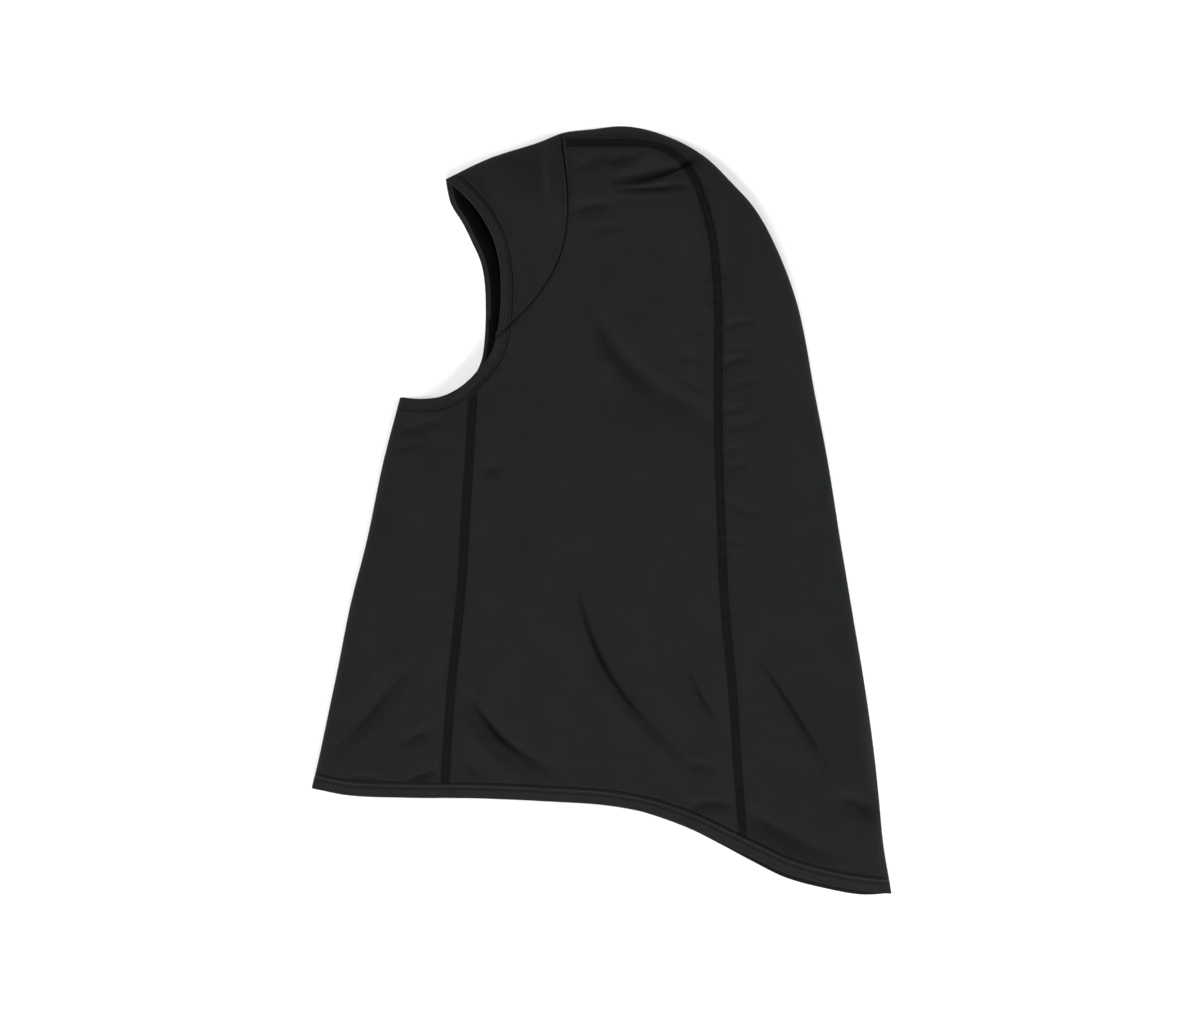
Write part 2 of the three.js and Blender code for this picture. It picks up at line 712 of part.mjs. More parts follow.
// The forehead seam goes over the folded edge from the face hem on one layer to the face hem on the other.
function browBandGrid() {
  const edges = [-seamHalf, seamHalf].map((distance) => beside(browSeam, distance));
  const half = (face_, upper) => {
    const [left, right] = edges.map((edge) => trimmed(edge, crown, face_.clear.line));
    const atFold = trimmed(crown, edges[0], edges[1]);
    const atHem = trimmed(face_.clear.line, edges[0], edges[1]);
    const band = patched(run(left), run(right), run(atFold), run(atHem));
    const shares = spread(browBandSteps, left.length);
    return shares.map((s) => evenShares(2).map((q) => face(band(s, q), upper)));
  };
  return [...half(faceU, true).reverse(), ...half(faceL, false).slice(1)];
}

// A hem ring: along the upper layer from one folded edge to the other and back along the layer underneath.
function hemGrid(upper, lower, firstFold, lastFold, fromFirst, steps, under) {
  const half = (lines, count, above) => {
    const start = part(firstFold, fromFirst, upper.inner.first);
    const end = part(lastFold, lastFold === front ? 0 : 1, upper.inner.last);
    const band = patched(run(lines.edge), run(lines.inner.line), run(start), run(end));
    return spreadBoth(count, lines.edge.length).map((s) => [0, 1].map((q) => face(band(s, q), above)));
  };
  return [...half(upper, steps, true), ...half(lower, under, false).slice(1, -1).reverse()];
}

const crownWeight = (share) => 1 + crownFineness * (1 - THREE.MathUtils.smoothstep(share, ...crownOfBack));
const backShares = weightedShares(backSeamSteps, crownWeight);
const frontShares = evenShares(frontSeamSteps);
const above = { thickness: seamThickness - seamRise, rises: [seamEdgeRise, seamRise, seamEdgeRise] };
const beneath = { thickness: seamThickness - seamRise, upward: -1 };
const ring = { thickness: hemThickness, ring: true };

const solids = {
  forehead_panel: foldedPanel(
    part(crown, faceU.clear.first, crossing(crown, browLeft).one),
    browSides(faceU),
    browSides(faceL),
    evenShares(browRows),
    browAcross,
    browUnder,
  ),
  crown_back_panel: foldedPanel(
    part(crown, crossing(crown, browRight).one, hemU.clear.last),
    backSides(hemU),
    backSides(hemL),
    weightedShares(backRows, crownWeight),
    backAcross,
    backUnder,
  ),
  chin_panel: foldedPanel(
    part(front, faceU.clear.last, hemU.clear.first),
    chinSides(faceU, hemU),
    chinSides(faceL, hemL),
    evenShares(chinRows),
    chinAcross,
    chinUnder,
  ),
  side_panel_left: shell(sideGrid(sideEdges(faceU, hemU)), { thickness: knitThickness }),
  side_panel_right: flatSide(sideEdges(faceL, hemL)),
  face_hem: shell(hemGrid(faceU, faceL, crown, front, 0, faceHemSteps, faceHemUnder), ring),
  bottom_hem: shell(hemGrid(hemU, hemL, front, crown, 1, bottomHemSteps, bottomHemUnder), ring),
  forehead_seam: shell(browBandGrid(), above),
  back_seam_left: shell(bandGrid(backSeam, browRight, hemU.clear.line, backShares, true), above),
  back_seam_right: shell(bandGrid(backSeam, browRight, hemL.clear.line, backShares, false), beneath),
  front_seam_left: shell(bandGrid(chestSeam, faceU.clear.line, hemU.clear.line, frontShares, true), above),
  front_seam_right: shell(bandGrid(chestSeam, faceL.clear.line, hemL.clear.line, frontShares, false), beneath),
};

const hijab = new THREE.Group();
hijab.name = "sports_hijab";
for (const [name, geometry] of Object.entries(solids)) {
  const colour = name.includes("seam") ? seamColour : name.includes("hem") ? hemColour : knitColour;
  const mesh = new THREE.Mesh(
    geometry,
    new THREE.MeshStandardMaterial({ color: colour, roughness: 0.92, metalness: 0 }),
  );
  mesh.name = name;
  hijab.add(mesh);
}

export default hijab;
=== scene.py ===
import bpy
import numpy as np
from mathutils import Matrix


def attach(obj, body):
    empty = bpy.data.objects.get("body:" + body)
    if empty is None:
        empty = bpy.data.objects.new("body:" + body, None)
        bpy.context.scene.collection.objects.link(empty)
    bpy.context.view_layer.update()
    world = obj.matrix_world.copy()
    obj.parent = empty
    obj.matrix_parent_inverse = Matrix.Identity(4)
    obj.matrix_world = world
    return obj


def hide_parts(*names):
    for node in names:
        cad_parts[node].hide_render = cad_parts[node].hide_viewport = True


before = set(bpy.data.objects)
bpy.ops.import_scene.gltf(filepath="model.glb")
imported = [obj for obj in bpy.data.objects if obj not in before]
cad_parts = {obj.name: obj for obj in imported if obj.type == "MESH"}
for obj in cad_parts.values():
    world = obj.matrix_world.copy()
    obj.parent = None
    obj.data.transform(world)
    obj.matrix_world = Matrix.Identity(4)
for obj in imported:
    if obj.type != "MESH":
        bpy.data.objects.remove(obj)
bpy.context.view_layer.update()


# The white table it is photographed on, the soft boxes to its left, right and foot with a weak one
# overhead, and the camera straight above it. The frame's 1200 pixels cover 792 mm of the table.
frame_width = 0.792
lens_mm = 85.0
sensor_mm = 36.0
aim = (-0.001, 0.0, 0.0032)
table_size = 7.0
table_drop = 0.0002
paper_white = (0.9, 0.9, 0.9, 1)
paper_roughness = 0.85
room_glow = 0.12

scene = bpy.context.scene
scene.view_settings.view_transform = "Standard"
scene.view_settings.look = "None"

camera_data = bpy.data.cameras.new("camera")
camera_data.lens = lens_mm
camera_data.sensor_width = sensor_mm
camera = bpy.data.objects.new("camera", camera_data)
camera.location = (aim[0], aim[1], aim[2] + frame_width * lens_mm / sensor_mm)
scene.collection.objects.link(camera)
scene.camera = camera

table_mesh = bpy.data.meshes.new("table_top")
reach = table_size / 2
table_mesh.from_pydata(
    [(-reach, -reach, 0), (reach, -reach, 0), (reach, reach, 0), (-reach, reach, 0)], [], [(0, 1, 2, 3)])
table = bpy.data.objects.new("table_top", table_mesh)
table.location.z = -table_drop
scene.collection.objects.link(table)
paper = bpy.data.materials.new("white_paper")
paper.use_nodes = True
paper_finish = paper.node_tree.nodes["Principled BSDF"].inputs
paper_finish["Base Color"].default_value = paper_white
paper_finish["Roughness"].default_value = paper_roughness
table_mesh.materials.append(paper)

# each soft box: its place, how wide it is and its power in watts
soft_boxes = {
    "left": ((-2.5, 0.3, 1.0), 1.2, 138.0),
    "right": ((2.6, 0.0, 0.85), 1.2, 150.0),
    "foot": ((0.2, -2.6, 0.9), 1.3, 108.0),
    "overhead": ((0.0, 0.0, 3.0), 1.8, 10.0),
}
for box_name, (place, size, power) in soft_boxes.items():
    light = bpy.data.lights.new("soft_box_" + box_name, "AREA")
    light.size = size
    light.energy = power
    lamp = bpy.data.objects.new("soft_box_" + box_name, light)
    lamp.location = place
    lamp.rotation_mode = "QUATERNION"
    lamp.rotation_quaternion = (-lamp.location).to_track_quat("-Z", "Y")
    scene.collection.objects.link(lamp)
room = bpy.data.worlds.new("white_room")
room.use_nodes = True
room.node_tree.nodes["Background"].inputs["Color"].default_value = (1, 1, 1, 1)
room.node_tree.nodes["Background"].inputs["Strength"].default_value = room_glow
scene.world = room


# The left side panel, which lies uppermost: one piece of brushed black knit from the crown to the hem. The
# sewn hood lies folded in two along its centre front, crown and back, so the cloth lofts over the layer
# underneath and rolls over at the folded edges; handling has left creases in it.
laid_width = 0.383
laid_length = 0.508
knit_thickness = 0.001
seam_width = 0.0053
bottom_hem_width = 0.0099
face_hem_width = 0.0096
cloth_gap = 0.0001
fold_height = 0.0032
fold_shoulder = 0.007
fold_roll = 0.006
under_roll = 0.0045
crown_lift = 0.017
lift_reach = 0.048
mouth_reach = 0.03
settling = 0.0018
mouth_curl = 0.003
curl_start = 0.0045
curl_reach = 0.014
mouth_sag = 0.3
creases_fade = 0.008
fold_fade = 1.2
line_points = 230
line_overrun = 0.016
stretch_points = 40
places_at_once = 6000

# outline and seam lines, in thousandths of the laid width from the front and of the length from the hem
crown_places = [
    (231, 931), (306, 958), (392, 979), (435, 991.5), (484, 996), (535, 1000), (580, 995), (637, 979),
    (682, 958), (725, 926), (761, 896), (793.5, 854.5), (836.5, 771), (869, 647), (890, 564), (912, 460),
    (935, 356), (953.5, 273), (969, 190), (978, 127), (986, 65), (1000, 3)]
front_places = [
    (153, 648), (124, 564), (95, 460), (67, 377), (45, 293.5), (27.5, 231), (10, 169), (0, 140)]
mouth_places = [
    (231, 931), (267, 906.5), (293, 882), (311.5, 857), (323, 826), (327, 792), (325.5, 758), (318, 721.5),
    (305, 698.5), (285.5, 681), (261, 663), (226, 649), (188, 645.5), (153, 648)]
hem_places = [
    (0, 140), (64, 131), (163.5, 128), (291, 127), (411, 123), (508, 118), (580, 108), (654, 89),
    (709, 69), (761, 50), (818, 30), (893, 14.5), (950, 7), (1000, 3)]
brow_seam_places = [
    (434.5, 1010), (433, 980), (438, 945), (441.5, 917), (441.5, 884), (437, 851), (420, 814), (388, 776),
    (360, 753), (322, 727)]
back_seam_places = [
    (410, 976), (445, 976.5), (490, 976), (540, 976), (583.5, 974), (618, 965), (642, 950), (660, 929),
    (675.5, 898), (688.5, 861), (695.5, 820), (700, 760), (700.5, 605), (704, 514), (711, 384), (725, 269),
    (733, 177), (740, 108), (748, 30)]
front_seam_places = [
    (280.5, 690), (279, 650), (276, 610), (271, 543), (265.5, 480), (261, 415), (254, 357), (246.5, 306),
    (240, 251), (235, 196.5), (228, 110)]
far_mouth_places = [
    (231, 931), (240, 900), (260, 875), (277, 849), (291, 825), (298.6, 795), (298.6, 725), (291, 692),
    (273, 669), (243, 653), (200, 645.5), (153, 648)]
far_hem_places = [
    (0, 140), (64, 133), (163.5, 130), (411, 125), (508, 120), (580, 106.5), (654, 86), (709, 65),
    (761, 44), (818, 23), (893, 8), (950, 1), (1000, 3)]
# the loft as a share of the crown's lift, at shares of the length from the hem
loft_by_length = [
    (0.0, 0.5), (0.15, 0.54), (0.45, 0.63), (0.65, 0.68), (0.8, 0.86), (0.92, 1.0), (1.0, 1.0)]
# each fold: where it starts and ends, its bow as a share of its own length, its width in thousandths of
# the laid width, and its rise as a share of the crown's lift
folds = [
    (510, 928, 632, 951, -0.08, 11.5, -0.19), (505, 915, 625, 930, -0.04, 12, 0.11),
    (520, 905, 630, 907, -0.02, 11, -0.08), (455, 944, 540, 965, 0.03, 10.5, -0.09),
    (500, 937, 570, 962, 0, 9, -0.08), (440, 880, 520, 897, 0.03, 12, -0.09),
    (645, 940, 672, 969, 0, 13, -0.1), (700, 915, 731, 790, 0.05, 20, -0.13),
    (730, 875, 765, 760, 0.05, 20, 0.07), (470, 775, 705, 606, -0.16, 45, -0.13),
    (520, 830, 700, 690, -0.12, 50, 0.07), (455, 470, 700, 178, -0.17, 26, -0.11),
    (500, 470, 710, 235, -0.15, 30, 0.09), (268, 262, 425, 162, -0.12, 17, -0.1),
    (255, 240, 320, 190, -0.1, 15, 0.08), (430, 300, 485, 190, -0.05, 15, -0.05),
    (190, 312, 20, 182, -0.04, 15, -0.09), (170, 330, 30, 225, -0.04, 18, 0.06),
    (225, 226, 150, 193, 0, 13, -0.06), (225, 166, 155, 152, 0, 12, -0.05),
    (225, 617, 140, 604, 0.03, 12, -0.06), (755, 322, 893, 170, 0.04, 20, -0.1),
    (890, 130, 980, 102, 0, 20, -0.12), (870, 155, 965, 140, 0, 22, 0.06),
    (640, 120, 725, 116, 0.02, 11, -0.12), (745, 118, 880, 50, -0.05, 14, -0.12),
    (770, 125, 860, 87, -0.03, 16, 0.07), (650, 275, 700, 200, 0.05, 13, -0.06),
    (413, 975, 418, 880, 0, 12, 0.06)]
# creases too fine for the solids: the same columns, and for some how much gentler the left side is
creases = [
    (510, 924, 662, 955, -0.1, 6.6, -0.46, 0.45), (515, 914, 655, 919, -0.02, 5.2, -0.4, 0.3),
    (528, 925, 621, 932, -0.05, 4.8, 0.068), (451, 939, 560, 958, 0.04, 11, -0.17, 0.3),
    (513, 944, 568, 962, 0.03, 6.9, -0.085, 0.3), (439, 884, 523, 896, 0.04, 7.6, -0.12, 0.3),
    (625, 946, 675, 958, 0, 12.9, -0.14), (400, 966, 690, 938, 0.075, 28, 0.2, -0.35),
    (472, 864, 559, 866, 0.02, 7.8, -0.051), (477, 979, 575, 981, 0.02, 6.2, -0.102),
    (544, 956, 621, 969, 0.05, 15.5, 0.085), (408, 982, 423, 870, 0, 12.9, 0.15),
    (274, 953, 320, 857, 0.1, 13.8, -0.085), (666, 919, 697, 729, 0.05, 32.7, -0.115),
    (367, 792, 408, 473, -0.03, 44.8, -0.127), (484, 805, 738, 623, -0.11, 30, 0.12, 0.5),
    (458, 800, 715, 607, -0.12, 19, -0.27), (697, 610, 787, 625, -0.08, 10.3, -0.076),
    (445, 450, 660, 168, -0.115, 8.6, -0.21), (640, 172, 700, 165, 0.02, 7.5, -0.12),
    (422, 442, 659, 148, -0.1, 17.2, 0.106), (632, 325, 718, 210, -0.05, 8.5, -0.15),
    (262, 275, 430, 158, -0.1, 8.2, -0.23), (243, 257, 380, 142, -0.08, 12.1, 0.095),
    (250, 191, 308, 149, -0.03, 6.9, -0.074), (287, 545, 335, 562, 0, 10.3, -0.13),
    (750, 333, 904, 155, 0, 8.6, -0.2, -0.35), (780, 371, 921, 60, 0, 41.4, -0.106),
    (938, 384, 979, 21, 0, 29.3, 0.138), (900, 129, 990, 103, 0, 13.5, -0.3),
    (651, 117, 735, 119, 0.02, 6.5, -0.148), (720, 122, 917, 44, -0.04, 15.5, -0.33),
    (783, 110, 892, 69, 0, 7.8, -0.085), (190, 315, 15, 168, 0.03, 11.2, -0.22),
    (215, 219, 148, 194, 0, 7.9, -0.12), (160, 149, 222, 166, -0.05, 5.2, -0.14),
    (60, 155, 135, 150, 0.04, 5.5, -0.1), (134, 595, 240, 618, 0.03, 7.6, -0.12),
    (139, 578, 200, 588, 0, 6, -0.08), (704, 734, 768, 747, 0.06, 5.5, -0.092),
    (702, 716, 759, 709, -0.05, 6.2, -0.065), (701, 683, 757, 700, 0.08, 5.9, -0.104),
    (706, 656, 783, 670, 0.05, 5.9, -0.078), (702, 629, 756, 639, -0.06, 6.2, -0.078),
    (706, 577, 745, 584, 0, 5.5, -0.065), (707, 552, 757, 561, 0.05, 5.9, -0.078),
    (707, 517, 775, 495, -0.08, 6.5, -0.092), (709, 462, 752, 456, 0, 5.9, -0.053),
    (620, 709, 678, 692, -0.06, 6.2, -0.078), (628, 682, 682, 655, -0.08, 5.9, -0.092),
    (608, 658, 682, 630, -0.08, 6.5, -0.078), (649, 736, 680, 727, 0, 5.5, -0.065)]


def run_of(line):
    """How far along a line each of its points is: the running sum of its steps."""
    return np.append(0, np.cumsum(np.linalg.norm(np.diff(line, axis=0), axis=1)))


def length_of(line):
    """The sum of a line's steps."""
    return run_of(line)[-1]


def along(line, share):
    """The points at given shares of a line's length."""
    run = run_of(line)
    at = np.clip(share, 0, 1) * run[-1]
    return np.stack([np.interp(at, run, line[:, 0]), np.interp(at, run, line[:, 1])], axis=-1)


def placed(places):
    """Where given thousandths of the laid width and length lie on the table."""
    return (np.array(places) / 1000 - 0.5) * (laid_width, laid_length)


def unit(way):
    """The same directions at a length of one."""
    return way / np.linalg.norm(way, axis=-1, keepdims=True)


def drawn(places):
    """A smooth line through given points: on each stretch a cubic whose end slopes come from the points on
    either side, timed by the square root of the distances between them."""
    p = placed(places)
    p = np.vstack([2 * p[0] - p[1], p, 2 * p[-1] - p[-2]])
    time = np.sqrt(np.linalg.norm(np.diff(p, axis=0), axis=1))[:, None]
    before, here, after = time[:-2], time[1:-1], time[2:]
    a, b, c, d = p[:-3], p[1:-2], p[2:-1], p[3:]
    leave = ((b - a) / before - (c - a) / (before + here) + (c - b) / here) * here
    arrive = ((c - b) / here - (d - b) / (here + after) + (d - c) / after) * here
    t = np.linspace(0, 1, stretch_points, endpoint=False)[:, None, None]
    bend = b + leave * t + (3 * (c - b) - 2 * leave - arrive) * t**2 + (2 * (b - c) + leave + arrive) * t**3
    whole = np.vstack([bend.transpose(1, 0, 2).reshape(-1, 2), p[-2:-1]])
    return along(whole, np.linspace(0, 1, line_points))


def beside(line, distance):
    """The line moved sideways to its left by a distance, its ends drawn on straight."""
    way = unit(np.gradient(line, axis=0))
    moved = line + distance * np.stack([-way[:, 1], way[:, 0]], axis=-1)
    return np.vstack([moved[0] - line_overrun * way[0], moved, moved[-1] + line_overrun * way[-1]])


def crossing(one, two):
    """Where two lines cross, as a share of the length of each: the first stretch pair that meets."""
    a, ab = one[:-1, None], np.diff(one, axis=0)[:, None]
    c, cd = two[None, :-1], np.diff(two, axis=0)[None]
    turn = ab[..., 0] * cd[..., 1] - ab[..., 1] * cd[..., 0]
    turn = np.where(turn == 0, np.inf, turn)
    s = ((c - a)[..., 0] * cd[..., 1] - (c - a)[..., 1] * cd[..., 0]) / turn
    t = ((c - a)[..., 0] * ab[..., 1] - (c - a)[..., 1] * ab[..., 0]) / turn
    i, j = np.argwhere((s >= 0) & (s <= 1) & (t >= 0) & (t <= 1) & (np.isfinite(turn)))[0]
    on_one = length_of(one[:i + 1]) + s[i, j] * np.linalg.norm(ab[i, 0])
    on_two = length_of(two[:j + 1]) + t[i, j] * np.linalg.norm(cd[0, j])
    return on_one / length_of(one), on_two / length_of(two)


def part(line, start, end):
    """The part of a line between two shares of its length, run either way."""
    run = run_of(line) / length_of(line)
    inside = line[(run > min(start, end)) & (run < max(start, end))]
    inside = inside if start < end else inside[::-1]
    return np.vstack([along(line, start), inside, along(line, end)])


def trimmed(line, first, last):
    """The part of a line between the two lines that cross it."""
    return part(line, crossing(line, first)[0], crossing(line, last)[0])


def snapped(line, start, end):
    """The line with its ends drawn over to two points, the change dying away with the cube of the share."""
    share = run_of(line)[:, None] / length_of(line)
    return line + (start - line[0]) * (1 - share)**3 + (end - line[-1]) * share**3


def near(line, p):
    """How far each place is from a line, and what run of the line's length lies at the nearest point. The
    square of the gap to each stretch comes from dot products, for many places and stretches at once."""
    a, ab = line[:-1], np.diff(line, axis=0)
    size = (ab**2).sum(axis=1)
    run = np.append(0, np.cumsum(np.sqrt(size)))
    away, at = [], []
    for some in np.array_split(p.reshape(-1, 2), max(1, p.size // places_at_once)):
        ahead = some @ ab.T - (a * ab).sum(axis=1)
        t = np.clip(ahead / size, 0, 1)
        gap = (some**2).sum(axis=1)[:, None] - 2 * some @ a.T + (a**2).sum(axis=1)
        gap += t * (t * size - 2 * ahead)
        best = gap.argmin(axis=1)
        row = np.arange(len(some))
        away.append(np.sqrt(np.maximum(gap[row, best], 0)))
        at.append(run[best] + t[row, best] * (run[best + 1] - run[best]))
    return np.concatenate(away).reshape(p.shape[:-1]), np.concatenate(at).reshape(p.shape[:-1])


crown_fold = drawn(crown_places)
front_fold = drawn(front_places)
mouth_edge = drawn(mouth_places)
hem_edge = drawn(hem_places)
brow_seam = drawn(brow_seam_places)
back_seam = drawn(back_seam_places)
front_seam = drawn(front_seam_places)
far_mouth_edge = drawn(far_mouth_places)
far_hem_edge = drawn(far_hem_places)


def pressed(p, table):
    """What a table of folds adds at each place: for each fold its rise times a bell across its bowed centre
    line, wider on one side where it leans, fading to nothing at both ends."""
    total = np.zeros(p.shape[:-1])
    for x0, y0, x1, y1, bow, width, rise, *lean in table:
        start = placed((x0, y0))
        run = placed((x1, y1)) - start
        length = np.linalg.norm(run)
        share = np.clip((p - start) @ run / length**2, 0, 1)
        window = np.sin(np.pi * share)
        off = (run[0] * (p - start)[..., 1] - run[1] * (p - start)[..., 0]) / length
        across = off - bow * length * window
        across /= width / 1000 * laid_width * (1 + sum(lean) * np.sign(across))
        total += rise * window**fold_fade * np.exp(-across**2)
    return total


# the puckers at each seam: its line, their pitch and depth, and how far they reach
pucker_lines = [
    (back_seam, 0.0085, 0.00022, 0.0085),
    (front_seam, 0.0105, 0.00014, 0.0075),
    (brow_seam, 0.0085, 0.00016, 0.0075),
    (beside(hem_edge, bottom_hem_width), 0.0125, 0.00018, 0.009),
    (beside(mouth_edge, face_hem_width), 0.0095, 0.00014, 0.008)]
# the slow waves in their pitch and in their strength: height, length and start
pucker_drift = ((1.3, 0.037, 0), (0.9, 0.0171, 1))
pucker_strength = (0.55, 0.45, 0.029, 2)


def puckered(p):
    """The drawing-in of the cloth by its seams: a wave along each seam, dying away to both sides, with its
    pitch and strength drifting slowly so that no two puckers are alike."""
    total = np.zeros(p.shape[:-1])
    for line, pitch, depth, spread_to in pucker_lines:
        away, run = near(line, p)
        drift = sum(height * np.sin(run / length + start) for height, length, start in pucker_drift)
        usual, height, length, start = pucker_strength
        strength = usual + height * np.sin(run / length + start)
        total += depth * strength * np.sin(2 * np.pi * run / pitch + drift) * np.exp(-(away / spread_to)**2)
    return total


trough_depth = 0.0006
trough_width = 0.0021
nick_depth = 0.0014
nick_width = 0.0009
row_width = 0.0006
hem_droop = 0.0021
droop_reach = 0.005
# each needle row: its distance from the free edge and how deep it sinks the cloth
hem_rows = ((0.0065, 0.0005), (0.0104, 0.0016))
mouth_rows = ((0.0063, 0.0003), (0.008, 0.0009))


def sewn(p):
    """How far sewing sinks the cloth, each a bell across its line: the covered seams lie in shallow troughs,
    the plain forehead seam is a narrow nick, each needle row of the hems a fine groove at its own distance
    from the free edge, and the bottom hem droops towards that edge."""
    total = np.zeros(p.shape[:-1])
    for line in (back_seam, front_seam):
        beyond = np.maximum(near(line, p)[0] - seam_width / 2, 0)
        total -= trough_depth * np.exp(-(beyond / trough_width)**2)
    total -= nick_depth * np.exp(-(near(brow_seam, p)[0] / nick_width)**2)
    for edge, rows in ((hem_edge, hem_rows), (mouth_edge, mouth_rows)):
        away = near(edge, p)[0]
        for row, depth in rows:
            total -= depth * np.exp(-((away - row) / row_width)**2)
    total -= hem_droop * np.exp(-(near(hem_edge, p)[0] / droop_reach)**2)
    return total


swell_height = 0.00016


def settled(p):
    """The slow unevenness of laid cloth: three crossing swells of about 40 to 110 mm."""
    x, y = p[..., 0], p[..., 1]
    swell = np.sin(x / 0.011 + 1.9 * np.sin(y / 0.031)) * np.sin(y / 0.0175 + 0.7)
    swell += 0.8 * np.sin((x + 0.6 * y) / 0.0142 + 2.0) * np.sin((y - 0.4 * x) / 0.0235)
    swell += 0.6 * np.sin(x / 0.0067 + y / 0.0098 + 1.1 * np.sin(y / 0.02))
    return swell_height * swell


def lofted(p, upper):
    """Height of the cloth's outer face. Underneath it rises from the table to the folded edge in a quarter
    of an ellipse, and curls up a little behind the edge of the face opening. On top it goes on round another
    quarter ellipse to the shoulder, then eases up to the loft: the loft table read at its length, sagging
    near the face opening, plus folds, puckers and swells. Where creases would sink it into the layer
    underneath it eases to a stop, by half a hyperbola."""
    in_from = np.minimum(near(crown_fold, p)[0], near(front_fold, p)[0])
    roll = under_roll if not upper else fold_roll
    rolled = np.sqrt(1 - (1 - np.minimum(in_from / roll, 1))**2)
    if not upper:
        from_mouth = near(far_mouth_edge, p)[0]
        curl = (1 - np.exp(-(from_mouth / curl_start)**2)) * np.exp(-(from_mouth / curl_reach)**2)
        return fold_height * (1 - rolled) + mouth_curl * curl * np.minimum(in_from / curl_reach, 1)
    rows = np.array(loft_by_length)
    at = p[..., 1] / laid_length + 0.5
    k = np.clip(np.searchsorted(rows[:, 0], at) - 1, 0, len(rows) - 2)
    share = np.clip((at - rows[k, 0]) / (rows[k + 1, 0] - rows[k, 0]), 0, 1)
    lift = rows[k, 1] + (rows[k + 1, 1] - rows[k, 1]) * share**2 * (3 - 2 * share)
    lift *= 1 - mouth_sag * np.exp(-(near(mouth_edge, p)[0] / mouth_reach)**2)
    lift += pressed(p, folds)
    reach = 1 - (1 - np.minimum(in_from / lift_reach, 1))**2
    fine = crown_lift * pressed(p, creases) + puckered(p) + settled(p) + sewn(p)
    fine *= np.minimum(in_from / creases_fade, 1)
    shoulder = fold_height + (fold_shoulder - fold_height) * rolled
    clear = shoulder + (lift * crown_lift - fold_shoulder) * reach + fine - fold_height
    return fold_height + (clear + np.sqrt(clear**2 + (settling * rolled)**2)) / 2


def patched(first, last, start, end):
    """A smooth patch between four lines, as a function of two shares: each pair of opposite lines blended
    straight across, less the blend of the four corners."""
    def sheet(s, q):
        wide, deep = s[..., None], q[..., None]
        a, b, c, d = first(np.zeros(1)), last(np.zeros(1)), first(np.ones(1)), last(np.ones(1))
        corners = (1 - wide) * ((1 - deep) * a + deep * b) + wide * ((1 - deep) * c + deep * d)
        return (1 - deep) * first(s) + deep * last(s) + (1 - wide) * start(q) + wide * end(q) - corners
    return sheet


def running(line):
    """The line as a function of a share of its length."""
    return lambda share: along(line, share)


def between(*lines):
    """The patch between four lines: its first and last edge, then the lines at its start and its end."""
    return patched(*map(running, lines))


def climbing(line):
    """A line that only rises, as a function of a share of its rise."""
    return lambda share: np.stack([
        np.interp(line[0, 1] + share * (line[-1, 1] - line[0, 1]), line[:, 1], line[:, 0]),
        line[0, 1] + share * (line[-1, 1] - line[0, 1])], axis=-1)


first_step = 0.00012
step_growth = 1.35
halvings = 40
share_points = 4000


def spread(count, width):
    """Shares of each width that start with a fine step at the folded edge: every step is larger than the
    last by the same factor until the steps are even, at a size found by halving."""
    grown = first_step * step_growth**np.arange(count)
    low, high = np.zeros_like(width), width.copy()
    for _ in range(halvings):
        middle = (low + high) / 2
        short = np.minimum(grown, middle[..., None]).sum(-1) < width
        low, high = np.where(short, middle, low), np.where(short, high, middle)
    run = np.cumsum(np.minimum(grown, high[..., None]), axis=-1)
    run = np.concatenate([np.zeros(run.shape[:-1] + (1,)), run], axis=-1)
    return run / run[..., -1:]


def crowded(count, *crowds):
    """Shares from 0 to 1 that lie closer together round some of them: each crowd is a place, a width and how
    much closer, and adds a bell to how many shares fall there."""
    share = np.linspace(0, 1, share_points)
    bells = [closer * np.exp(-((share - place) / width)**2) for place, width, closer in crowds]
    weight = np.ones_like(share) + sum(bells)
    run = np.append(0, np.cumsum((weight[1:] + weight[:-1]) / 2))
    return np.interp(np.linspace(0, run[-1], count), run, share)


def raised(plan, upper):
    """Plan places with the height of the cloth's outer face at each."""
    return np.concatenate([plan, lofted(plan, upper)[..., None]], axis=-1)


def outward(place, ring=False):
    """Which way the cloth faces at each point of a grid: square to the two ways across the grid."""
    if ring:
        lengthways = np.roll(place, -1, axis=0) - np.roll(place, 1, axis=0)
    else:
        lengthways = np.gradient(place, axis=0)
    return unit(np.cross(lengthways, np.gradient(place, axis=1)))


turned_edge = 0.0036
crisp_angle = np.radians(50)


def linked(name, points, quads, around, lengthways):
    """A smooth-faced piece from its points and four-cornered faces, mapped in metres across and along."""
    mesh = bpy.data.meshes.new(name)
    mesh.from_pydata(points.tolist(), [], quads.tolist())
    corner = quads.ravel()
    weave = mesh.uv_layers.new(name="cloth")
    places = np.stack([around.ravel()[corner], lengthways.ravel()[corner]], axis=-1)
    weave.data.foreach_set("uv", places.ravel())
    mesh.polygons.foreach_set("use_smooth", np.ones(len(mesh.polygons), dtype=bool))
    piece = bpy.data.objects.new(name, mesh)
    scene.collection.objects.link(piece)
    return piece


